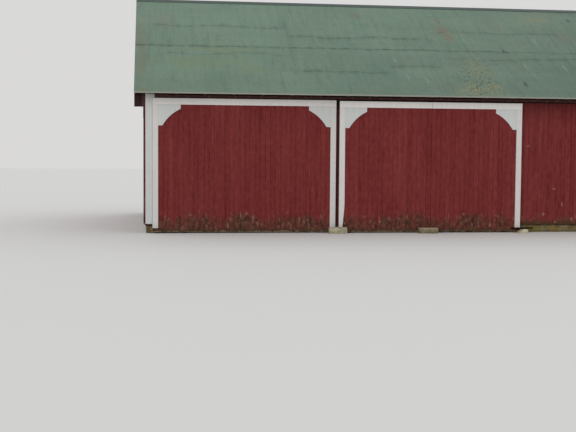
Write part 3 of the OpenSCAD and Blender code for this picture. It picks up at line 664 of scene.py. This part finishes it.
# %% Masonry materials
def masonry(name, dark, pale, stain, stain_amount, spots=(), rim=None, damp_amount=0.5):
    """Rough mortar and stone with earth stains and damp near the ground.

    `spots` are coloured spots by place, size, raggedness, paint and strength, and `rim` is the paint
    and height of a paler top edge: bleached, and painted light from the sky above."""
    material, tree, where = new_material(name)
    lumps = cloud(tree, where, 9.0, 6.0, 0.6)
    grit = cloud(tree, where, 90.0, 3.0)
    stains = cloud(tree, where, (1.1, 1.1, 2.5))
    layers = cloud(tree, where, (2.5, 2.5, 38))
    colour = blend(tree, step_up(tree, lumps, 0.30, 0.70), dark, pale)
    colour = coat(tree, colour, step_up(tree, stains, 0.42, 0.60), stain_amount, stain)
    colour = coat(tree, colour, step_up(tree, layers, 0.52, 0.66), 0.35, dark)
    for centre, size, ragged, paint, strength in spots:
        colour = coat(tree, colour, spot_mask(tree, where, centre, size, ragged), strength, paint)
    height = split(tree, where)["Z"]
    # A paler top edge: bleaching with painted light from the sky above.
    if rim:
        rim_paint, rim_z = rim
        lumpy_height = weighted(tree, 0.0, (height, 1.0), (lumps, 0.03))
        colour = coat(tree, colour, step_up(tree, lumpy_height, rim_z - 0.020, rim_z + 0.004), 0.8, rim_paint)
    colour = coat(tree, colour, step_up(tree, height, 0.07, 0.01), damp_amount, (0.060, 0.055, 0.030, 1))
    finish_surface(tree, colour, 0.9, weighted(tree, 0.0, (grit, 0.25), (lumps, 1.0)), 0.006)
    return material


OCHRE, OLIVE = (0.180, 0.108, 0.024, 1), (0.150, 0.118, 0.030, 1)
DOOR_GAP_SHADE = (0.150, 0.115, 0.082, 1)
FOUNDATION_SPOTS = [((2.44, -3.66, 0.07), (0.42, 0.3, 0.18), 7.0, OLIVE, 0.9),
                    ((2.90, -3.66, 0.06), (0.24, 0.3, 0.14), 7.0, OCHRE, 0.85),
                    ((3.60, -3.66, 0.09), (0.50, 0.3, 0.10), 7.0, OCHRE, 0.4),
                    ((5.10, -3.66, 0.05), (0.60, 0.3, 0.12), 7.0, OLIVE, 0.6)]
# Painted shade: dark spots along the middle stone's top, under the gap between the doors.
STONE_SPOTS = [((-2.01, -4.02, 0.125), (0.045, 0.12, 0.030), 20.0, DOOR_GAP_SHADE, 0.9),
               ((-2.12, -4.02, 0.105), (0.050, 0.12, 0.030), 20.0, DOOR_GAP_SHADE, 0.6),
               ((-1.92, -4.02, 0.100), (0.050, 0.12, 0.045), 20.0, DOOR_GAP_SHADE, 0.5)]
wall_masonry = masonry("foundation_masonry", (0.080, 0.059, 0.028, 1), (0.205, 0.160, 0.082, 1),
                       (0.100, 0.076, 0.030, 1), 0.5, FOUNDATION_SPOTS)
grey_stone = masonry("grey_guide_stone", (0.26, 0.235, 0.160, 1), (0.54, 0.50, 0.37, 1),
                     (0.20, 0.16, 0.09, 1), 0.35, STONE_SPOTS, damp_amount=0.10)
brown_block = masonry("brown_guide_block", (0.12, 0.095, 0.056, 1), (0.25, 0.205, 0.125, 1),
                      (0.13, 0.10, 0.05, 1), 0.4, rim=((0.33, 0.240, 0.185, 1), 0.119), damp_amount=0.30)
pale_stone = masonry("pale_guide_stone", (0.35, 0.31, 0.21, 1), (0.58, 0.53, 0.38, 1),
                     (0.28, 0.24, 0.15, 1), 0.3, damp_amount=0.15)
print("masonry ready")

# %% [markdown]
# ## Building meshes from planks
#
# Boards, trim and roof sheets are all drawn on a flat wall and then placed. A `Face` knows the wall's
# origin, the direction that runs to the right along it and the direction that points out of it, so
# one drawing routine serves the front, back, gables and roof slopes.


# %% A wall face and a mesh that grows
class Face:
    """Maps (u, v, w) = (right, up, out) on a wall or slope to a point of the barn."""

    def __init__(self, origin, right, up):
        self.origin, self.right, self.up = Vector(origin), Vector(right), Vector(up)
        self.out = self.right.cross(self.up)

    def at(self, u, v, w):
        return self.origin + self.right * u + self.up * v + self.out * w


class Mesh:
    """Collects the corners and faces of many small solids and makes one object of them."""

    def __init__(self):
        self.corners, self.faces, self.kinds = [], [], []

    def rings(self, rings, kind=0, back_kind=None):
        """A solid from rings of points: quads between neighbours and a flat cap at both ends.

        Seen from the last ring each ring runs anticlockwise, so that the faces point outwards.
        `kind` is the number of its material, and `back_kind` that of the side between a ring's first
        two points."""
        start, count = len(self.corners), len(rings[0])
        for ring in rings:
            self.corners.extend(ring)
        for r in range(len(rings) - 1):
            a, b = start + r * count, start + (r + 1) * count
            for k in range(count):
                n = (k + 1) % count
                self.faces.append((a + k, a + n, b + n, b + k))
                self.kinds.append(kind if k or back_kind is None else back_kind)
        last = start + (len(rings) - 1) * count
        self.faces.append(tuple(range(start + count - 1, start - 1, -1)))
        self.faces.append(tuple(range(last, last + count)))
        self.kinds.extend([kind, kind])

    def build(self, name, body, materials, replaces=()):
        mesh = bpy.data.meshes.new(name)
        mesh.from_pydata(self.corners, [], self.faces)
        for material in materials:
            mesh.materials.append(material)
        mesh.polygons.foreach_set("material_index", self.kinds)
        mesh.update()
        piece = bpy.data.objects.new(name, mesh)
        bpy.context.collection.objects.link(piece)
        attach(piece, body)
        if replaces:
            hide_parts(*replaces)
        print(f"{name}: {len(self.faces)} faces")
        return piece


# %% Boards, planks and nails
UP = (0, 0, 1)
BOARD_PITCH = 0.108
EDGE_EASE = 0.0025
HALF_GAP = 0.0009
TONGUE_SHARE = 0.55
WARP = 0.0008
BOARD_SHARES = (0.0, 0.04, 0.14, 0.38, 0.68, 1.0)
NAIL_SIDES = 6
NAIL_RINGS = ((0.0035, -0.001), (0.0028, 0.0007))  # radius, and height over the board


def even_boards(u0, u1, pitch=BOARD_PITCH):
    """The edges of whole boards of about the given pitch between two lines."""
    count = max(1, round((u1 - u0) / pitch))
    return [u0 + (u1 - u0) * k / count for k in range(count + 1)]


def add_board(mesh, face, u0, u1, foot, top_left, top_right, front, rng, ragged=0.0):
    """One upright board of the thickness `front`: tongued at the back, eased at the front, slightly
    warped, with an uneven foot."""
    a, b = u0 + HALF_GAP, u1 - HALF_GAP
    tongue = front * TONGUE_SHARE
    eased = front - EDGE_EASE
    columns = [(u0, 0), (u1, 0), (u1, tongue), (b, tongue), (b, eased), (b - EDGE_EASE, front),
               ((a + b) / 2, front), (a + EDGE_EASE, front), (a, eased), (a, tongue), (u0, tongue)]
    left_foot, middle_foot, right_foot = (foot + rng.uniform(0, ragged) for _ in range(3))
    rings = []
    for share in BOARD_SHARES:
        lean = rng.uniform(-2 * WARP, 0)
        ring = []
        for u, w in columns:
            along = (u - u0) / (u1 - u0)
            top = top_left + (top_right - top_left) * along
            if along < 0.5:
                low = left_foot + (middle_foot - left_foot) * 2 * along
            else:
                low = middle_foot + (right_foot - middle_foot) * (2 * along - 1)
            ring.append(face.at(u, low + (top - low) * share, w + lean if w > tongue else w))
        rings.append(ring)
    mesh.rings(rings[::-1], back_kind=2)


def add_nail(mesh, face, u, v, w, kind=1):
    """A low six-sided nail head."""
    turns = [k * math.tau / NAIL_SIDES for k in range(NAIL_SIDES)]
    mesh.rings([[face.at(u + radius * math.cos(a), v + radius * math.sin(a), w + out) for a in turns]
                for radius, out in NAIL_RINGS], kind)


def nail_board(mesh, face, u0, u1, rows, w, miss, rng):
    """Two nails in a board at each nailing rail, each up to `miss` off its line."""
    for v in rows:
        for share in (0.25, 0.75):
            add_nail(mesh, face, u0 + (u1 - u0) * share, v + rng.uniform(-miss, miss), w)


PLANK_BEVEL = 0.002
MITRE_LIMIT = 0.4


def inset_outline(points, inset):
    """The outline moved inwards by `inset`; the points run anticlockwise."""
    moved = []
    count = len(points)
    for i, (x, y) in enumerate(points):
        before, after = points[i - 1], points[(i + 1) % count]
        d1 = Vector((x - before[0], y - before[1])).normalized()
        d2 = Vector((after[0] - x, after[1] - y)).normalized()
        n = Vector((-d1.y - d2.y, d1.x + d2.x))
        n *= inset * 2 / max(n.length_squared, MITRE_LIMIT)
        moved.append((x + n.x, y + n.y))
    return moved


def add_plank(mesh, face, outline, front, kind=0):
    """A flat piece of the thickness `front` cut to an outline, with its front edge eased."""
    layers = ((outline, 0), (outline, front - PLANK_BEVEL), (inset_outline(outline, PLANK_BEVEL), front))
    mesh.rings([[face.at(u, v, w) for u, v in points] for points, w in layers], kind)


def box_outline(u0, v0, u1, v1):
    return [(u0, v0), (u1, v0), (u1, v1), (u0, v1)]


print("mesh helpers ready")

# %% [markdown]
# ## Door leaves
#
# Each leaf is a row of narrow upright boards nailed to rails at the back, with white trim planted on
# the front. The CAD slab of a leaf is replaced by its boards. The foot of each board is rotted to its
# own length, and its back was never painted, so the back has its own material. The trim is cut from
# separate boards: a head rail, stiles and a bracket with a hollow curve in each outer corner, so fine
# joints show between them.

# %% Door boards
DOORS = ("left_door", "middle_door", "right_door")
DOOR_SEED = 11
LOW_RAIL = 0.09
DOOR_RAGGED, DOOR_NAIL_MISS = 0.045, 0.01


def door_boards(door, seed):
    """Replaces the slab of one leaf by nailed boards."""
    rng = random.Random(seed)
    low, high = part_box(door + "_boards")
    thickness = high.y - low.y
    face = Face((low.x, high.y, 0), (1, 0, 0), UP)
    mesh = Mesh()
    edges = even_boards(0, high.x - low.x)
    for u0, u1 in zip(edges, edges[1:]):
        add_board(mesh, face, u0, u1, low.z, high.z, high.z, thickness, rng, DOOR_RAGGED)
        rails = (low.z + LOW_RAIL, (low.z + high.z) / 2)
        nail_board(mesh, face, u0, u1, rails, thickness - WARP, DOOR_NAIL_MISS, rng)
    materials = [red_doors, nail_metal, board_backs]
    mesh.build(door + "_board_row", door, materials, [door + "_boards"])


for seed, door in enumerate(DOORS, start=DOOR_SEED):
    door_boards(door, seed)

# %% White door trim
RAIL_H, STILE_W = 0.133, 0.120
BRACKET_W, BRACKET_H, BRACKET_STEP, BRACKET_R = 0.470, 0.440, 0.090, 0.850
ARC_STEPS = 14
JOINT = 0.0005
WORN_EDGE = ((0.045, 0.0), (0.031, 0.11), (0.019, 0.24), (0.005, 0.39), (0.0, 0.48))  # lost width, height
STILE_BACK, BRACKET_BACK, NAIL_BACK = 0.0004, 0.0003, 0.0006
STILE_NAILS = (0.35, 0.9, 1.5, 2.05, 2.45)
RAIL_NAIL_PITCH = 0.55


def bracket_outline(corner_u, corner_v, side):
    """A corner bracket below a rail; side is 1 when its stile is at the left, -1 at the right."""
    start = Vector((BRACKET_W, -BRACKET_STEP))
    end = Vector((BRACKET_STEP, -BRACKET_H))
    chord = end - start
    reach = math.sqrt(BRACKET_R ** 2 - chord.length_squared / 4)
    centre = (start + end) / 2 + reach * Vector((-chord.y, chord.x)).normalized()
    a0 = math.atan2(start.y - centre.y, start.x - centre.x)
    a1 = math.atan2(end.y - centre.y, end.x - centre.x)
    arc = [centre + BRACKET_R * Vector((math.cos(a), math.sin(a)))
           for a in (a0 + (a1 - a0) * k / ARC_STEPS for k in range(ARC_STEPS + 1))]
    points = [(JOINT, -JOINT), (JOINT, -BRACKET_H), *reversed(arc), (BRACKET_W, -JOINT)]
    points = [(corner_u + side * x, corner_v + y) for x, y in points]
    return points if side > 0 else points[::-1]


def stile_outline(u0, u1, foot, top, worn):
    """A stile's outline; a worn one has lost part of its right edge near the foot."""
    if not worn:
        return box_outline(u0, foot, u1, top)
    wear = [(u1 - lost, foot + height) for lost, height in WORN_EDGE]
    return [(u0, foot), *wear, (u1, top), (u0, top)]


def door_trim(door, left, right, worn=False):
    """Replaces the white trim of one leaf by a rail, stiles and corner brackets."""
    low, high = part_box(door + "_trim")
    width, thick = high.x - low.x, high.y - low.y
    face = Face((low.x, high.y, 0), (1, 0, 0), UP)
    mesh = Mesh()
    rail_v = high.z - RAIL_H
    add_plank(mesh, face, box_outline(0, rail_v, width, high.z), thick, kind=1)
    for side, present in ((1, left), (-1, right)):
        if not present:
            continue
        outer = 0 if side > 0 else width
        inner = outer + side * STILE_W
        u0, u1 = min(outer, inner), max(outer, inner)
        stile = stile_outline(u0, u1, low.z, rail_v - JOINT, worn)
        add_plank(mesh, face, stile, thick - STILE_BACK, kind=2)
        add_plank(mesh, face, bracket_outline(inner, rail_v, side), thick - BRACKET_BACK)
        for v in STILE_NAILS:
            for share in (0.3, 0.7):
                add_nail(mesh, face, u0 + STILE_W * share, v, thick - NAIL_BACK, kind=3)
    count = round(width / RAIL_NAIL_PITCH)
    for k in range(count):
        add_nail(mesh, face, width * (k + 0.5) / count, rail_v + RAIL_H / 2, thick, kind=3)
    mesh.build(door + "_white_trim", door, [white_trim, lit_white_rail, white_stile, nail_metal],
               [door + "_trim"])


door_trim("left_door", True, True)
door_trim("middle_door", True, False, worn=True)
door_trim("right_door", False, True)

# %% [markdown]
# ## Board walls
#
# The closed bay, the back and the gables are boarded like the doors. A gable's boards follow the
# slope of the roof at their heads and stop round the ends of the wall plates, which run out past the
# wall to carry the verge.

# %% Front and back walls
wall_rng = random.Random(5)
WALL_RAGGED, WALL_NAIL_MISS = 0.012, 0.012
LOW_RAILS, WALL_TOP_RAIL, GABLE_TOP_RAIL = (0.24, 1.10, 1.90), 2.72, 2.78


def nail_wall(mesh, face, edges, top_rail, w):
    """Nails in every board at the rails that all walls have and at the wall's own top rail."""
    for u0, u1 in zip(edges, edges[1:]):
        nail_board(mesh, face, u0, u1, (*LOW_RAILS, top_rail), w, WALL_NAIL_MISS, wall_rng)


def long_wall(node, name, right):
    """Replaces the slab of a long wall by boards."""
    low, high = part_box(node)
    thickness = high.y - low.y
    start = (low.x, high.y, 0) if right > 0 else (high.x, low.y, 0)
    face = Face(start, (right, 0, 0), UP)
    mesh = Mesh()
    edges = even_boards(0, high.x - low.x)
    for u0, u1 in zip(edges, edges[1:]):
        add_board(mesh, face, u0, u1, low.z, high.z, high.z, thickness, wall_rng, WALL_RAGGED)
    nail_wall(mesh, face, edges, WALL_TOP_RAIL, thickness - WARP)
    mesh.build(name, "barn", [red_walls, nail_metal, board_backs], [node])


long_wall("front_siding", "closed_bay_boards", 1)
long_wall("back_siding", "back_wall_boards", -1)

# %% Gable walls
PLATE_LOW, PLATE_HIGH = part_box("back_plate")


def gable_wall(node, name, side):
    """Replaces a gable's slab; side is 1 at the right end of the barn and -1 at the left."""
    low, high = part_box(node)
    thickness = high.x - low.x
    face = Face(((low.x if side > 0 else high.x), 0, 0), (0, side, 0), UP)

    def roof_line(u):
        return high.z - abs(u) * math.tan(ROOF_ANGLE)

    mesh = Mesh()
    plate_y = PLATE_LOW.y
    edges = even_boards(-plate_y, 0) + even_boards(0, plate_y)[1:]
    for u0, u1 in zip(edges, edges[1:]):
        add_board(mesh, face, u0, u1, low.z, roof_line(u0), roof_line(u1), thickness, wall_rng, WALL_RAGGED)
    nail_wall(mesh, face, edges, GABLE_TOP_RAIL, thickness - WARP)
    for a, b in ((-high.y, -plate_y), (plate_y, high.y)):
        for u0, u1 in zip(even_boards(a, b), even_boards(a, b)[1:]):
            add_board(mesh, face, u0, u1, low.z, PLATE_LOW.z, PLATE_LOW.z, thickness, wall_rng, WALL_RAGGED)
            add_board(mesh, face, u0, u1, PLATE_HIGH.z, roof_line(u0), roof_line(u1), thickness, wall_rng)
    mesh.build(name, "barn", [red_gables, nail_metal, board_backs], [node])


gable_wall("left_gable_siding", "left_gable_boards", -1)
gable_wall("right_gable_siding", "right_gable_boards", 1)

# %% [markdown]
# ## Sheet-metal roof
#
# Long sheets run from the eave to a lap line and from there to the ridge. Their side seams stand up
# as low ribs, with a smaller stiffening rib between them, and long shallow swells show where a sheet
# ends below another. One grid of points per slope holds all of this: its columns are placed where the
# ribs need them, and the height of each point adds the rib, the lap and the swells.

# %% Roof sheets
DECK_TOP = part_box("front_roof_deck")[1].z
RIB_HALF, RIB_H, SMALL_RIB_H = 0.016, 0.0028, 0.0010
SHEET_BASE, LAP_RISE, BUCKLE = 0.0008, 0.0015, 0.0012
SWELLS = [  # middle along the roof, distance up the slope, half length, half width, height
    (1.8, 3.3, 1.6, 0.10, 0.0016), (8.2, 3.3, 1.4, 0.10, 0.0016), (5.2, 2.85, 1.5, 0.09, 0.0016),
    (1.8, 1.88, 1.6, 0.09, 0.0012), (8.2, 1.88, 1.4, 0.09, 0.0012), (4.4, 1.2, 1.0, 0.08, 0.0016),
    (6.1, 1.46, 0.6, 0.08, 0.0016)]
SWELL_WANDER = 0.05
SLOPE_ROWS = 46
LAP_HALF = 0.002
RIB_CLEAR, FLAT_CLEAR = 0.03, 0.02


def slope_face(node, front):
    """The face along a slope's roof boards from its eave, with the slope's width and length."""
    low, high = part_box(node)
    side, start_x, eave_y = (1, low.x, low.y) if front else (-1, high.x, high.y)
    start = (start_x, eave_y, DECK_TOP - abs(eave_y) * math.tan(ROOF_ANGLE))
    face = Face(start, (side, 0, 0), (0, side * SLOPE_COS, SLOPE_SIN))
    return face, high.x - low.x, abs(eave_y) / SLOPE_COS


def sheet_height(u, s, front):
    """Height of the sheet above the roof boards at a place along the roof and up the slope."""
    uneven = noise.noise(Vector((u * 1.7, s * 1.1, 3.0 if front else 9.0))) + 0.4
    height = SHEET_BASE + LAP_RISE * (s > LAP_UP) + BUCKLE * uneven
    for middle, up_slope, half_u, half_s, swell in SWELLS if front else ():
        aside = s - up_slope - SWELL_WANDER * math.sin(5 * u)
        height += swell * math.exp(-((u - middle) / half_u) ** 4 - (aside / half_s) ** 2)
    return height


def roof_sheets(node, name, front, material):
    """Replaces one slope's covering by ribbed and lapped sheets with shallow swells."""
    face, length, slope_length = slope_face(node, front)
    columns = {0.0: 0.0, length: 0.0}
    first = SEAM_FIRST - (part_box(node)[0].x + HALF_LENGTH)
    count = int((length - first) / (SEAM_PITCH / 2)) + 1
    for k in range(count):
        middle = first + k * SEAM_PITCH / 2
        tall = RIB_H if k % 2 == 0 else SMALL_RIB_H
        if middle < RIB_CLEAR or middle > length - RIB_CLEAR:
            continue
        for offset, h in ((-RIB_HALF, 0), (-RIB_HALF * 0.4, tall), (RIB_HALF * 0.4, tall), (RIB_HALF, 0)):
            columns[middle + offset] = h
        for share in (0.33, 0.67):
            flat = middle + SEAM_PITCH / 2 * share
            if flat < length - FLAT_CLEAR:
                columns[flat] = 0.0
    us = sorted(columns)
    even_rows = {slope_length * k / SLOPE_ROWS for k in range(SLOPE_ROWS + 1)}
    ss = sorted(even_rows | {LAP_UP - LAP_HALF, LAP_UP + LAP_HALF})
    mesh = Mesh()
    corners = [[face.at(u, s, sheet_height(u, s, front) + columns[u]) for u in us] for s in ss]
    bottoms = [[face.at(u, s, 0) for u in us] for s in ss]
    mesh.corners = [p for row in corners for p in row] + [p for row in bottoms for p in row]
    n_u, n_s = len(us), len(ss)
    under = n_u * n_s
    for r in range(n_s - 1):
        for c in range(n_u - 1):
            a = r * n_u + c
            mesh.faces.append((a, a + 1, a + 1 + n_u, a + n_u))
            mesh.faces.append((under + a, under + a + n_u, under + a + 1 + n_u, under + a + 1))
    for c in range(n_u - 1):
        top = (n_s - 1) * n_u + c
        mesh.faces.append((c, under + c, under + c + 1, c + 1))
        mesh.faces.append((top, top + 1, under + top + 1, under + top))
    for r in range(n_s - 1):
        a, b = r * n_u, r * n_u + n_u - 1
        mesh.faces.append((a, a + n_u, under + a + n_u, under + a))
        mesh.faces.append((b, under + b, under + b + n_u, b + n_u))
    mesh.kinds = [0] * len(mesh.faces)
    mesh.build(name, "barn", [material], [node])


roof_sheets("front_roofing", "front_roof_sheets", True, green_front)
roof_sheets("back_roofing", "back_roof_sheets", False, green_back)

# %% [markdown]
# ## Roof boards
#
# The boards under the sheets run along the barn and show at the verge, under the eave and from
# inside. They are drawn across each slope with narrow gaps. Each row is two boards long, and the
# lowest one stops short of the eave line, where the CAD slab is cut plumb.

# %% Roof boards
DECK_THICK, DECK_BOARD = 0.022, 0.2
SIDE_GAP, END_GAP = 0.0015, 0.001


def roof_boards(node, name, front, seed):
    """Replaces the slab under one slope's covering by boards."""
    face, length, slope_length = slope_face(node, front)
    mesh = Mesh()
    edges = even_boards(0, slope_length, DECK_BOARD)
    rng = random.Random(seed)
    for s0, s1 in zip(edges, edges[1:]):
        cut = rng.uniform(0.3, 0.7) * length
        low_edge = s0 + (SIDE_GAP if s0 > 0 else DECK_THICK * math.tan(ROOF_ANGLE))
        for u0, u1 in ((0, cut - END_GAP), (cut + END_GAP, length)):
            outline = box_outline(u0, low_edge, u1, s1 - SIDE_GAP)
            mesh.rings([[face.at(u, s, w) for u, s in outline] for w in (-DECK_THICK, 0)])
    mesh.build(name, "barn", [roof_timber], [node])


roof_boards("front_roof_deck", "front_roof_board_rows", True, 21)
roof_boards("back_roof_deck", "back_roof_board_rows", False, 22)

# %% [markdown]
# ## Rough masonry
#
# The CAD foundation and stones are true blocks. A copy of each is remeshed into small faces, and its
# points are pushed inwards by noise, so the edges break up and nothing grows past the CAD block.

# %% Weathered masonry copies
CHIP_SPAN = 0.62
CHIP_STEEP = 1.6


def weathered_copy(node, name, material, voxel, depth, scale, chip=0.0):
    """A remeshed copy of a CAD node with an uneven surface, kept inside the node's own faces.

    `chip` is how much of its height the left end has lost, rising to full height over CHIP_SPAN of
    its length."""
    low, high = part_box(node)
    piece = bpy.data.objects.new(name, nodes[node].data.copy())
    bpy.context.collection.objects.link(piece)
    modifier = piece.modifiers.new("remesh", "REMESH")
    modifier.mode = "VOXEL"
    modifier.voxel_size = voxel
    depsgraph = bpy.context.evaluated_depsgraph_get()
    mesh = bpy.data.meshes.new_from_object(piece.evaluated_get(depsgraph))
    piece.modifiers.clear()
    piece.data = mesh
    mesh.materials.clear()
    mesh.materials.append(material)
    normals = [v.normal.copy() for v in mesh.vertices]
    for vertex, normal in zip(mesh.vertices, normals):
        large, small = noise.noise(vertex.co * scale), noise.noise(vertex.co * scale * 4)
        inward = vertex.co - normal * depth * max(0.5 + 0.5 * large + 0.3 * small, 0)
        left_share = max(0.0, 1 - (vertex.co.x - low.x) / (high.x - low.x) / CHIP_SPAN)
        inward.z -= (vertex.co.z - low.z) * chip * min(1.0, left_share * CHIP_STEEP)
        inward.z = max(inward.z, low.z) if vertex.co.z > low.z + voxel else low.z
        vertex.co = [min(max(c, a), b) for c, a, b in zip(inward, low, high)]
    mesh.update()
    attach(piece, "barn")
    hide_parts(node)
    print(f"{name}: {len(mesh.polygons)} faces")


weathered_copy("foundation", "rough_foundation", wall_masonry, 0.028, 0.016, 7.0)
weathered_copy("middle_guide_stone", "rough_middle_stone", grey_stone, 0.012, 0.018, 9.0)
weathered_copy("guide_block", "rough_guide_block", brown_block, 0.012, 0.010, 10.0)
weathered_copy("end_guide_stone", "rough_end_stone", pale_stone, 0.010, 0.014, 12.0, 0.85)

# %% [markdown]
# ## Finishes on the remaining CAD pieces
#
# Posts, beams, tracks and edges have the right shape already. They keep their CAD mesh, get a finish
# whose grain runs along them, and a small Bevel modifier so that their edges catch the light.

# %% Assign finishes and bevels
WOOD_EDGE, METAL_EDGE = 0.004, 0.001
FINISHES = [
    (dark_red, WOOD_EDGE, ["front_posts", "barge_boards", "side_corner_boards"]),
    (white_trim, WOOD_EDGE, ["corner_boards"]),
    (timber_up, WOOD_EDGE, ["back_posts", "gable_posts", "knee_braces", "gable_studs"]),
    (timber_up, WOOD_EDGE, [door + "_frame" for door in DOORS]),
    (timber_along, WOOD_EDGE, ["sills", "front_girts", "back_girts", "ridge_board"]),
    (timber_across, WOOD_EDGE, ["tie_beams", "gable_girts", "rafters"]),
    (plate_timber, WOOD_EDGE, ["front_plate", "back_plate"]),
    (track_metal, METAL_EDGE, ["inner_track", "outer_track", "track_brackets"]),
    (track_metal, METAL_EDGE, [door + "_hangers" for door in DOORS]),
    (cap_metal, METAL_EDGE, ["ridge_cap"]),
    (drip_metal, METAL_EDGE, ["drip_edges"]),
    (black_iron, METAL_EDGE, ["guide_iron"])]
for material, edge, names in FINISHES:
    for piece in (nodes[name] for name in names):
        piece.data.materials.clear()
        piece.data.materials.append(material)
        bevel = piece.modifiers.new("eased edges", "BEVEL")
        bevel.width = edge
        bevel.segments = 1
        bevel.limit_method = "ANGLE"
print(sum(len(names) for _, _, names in FINISHES), "CAD nodes finished")
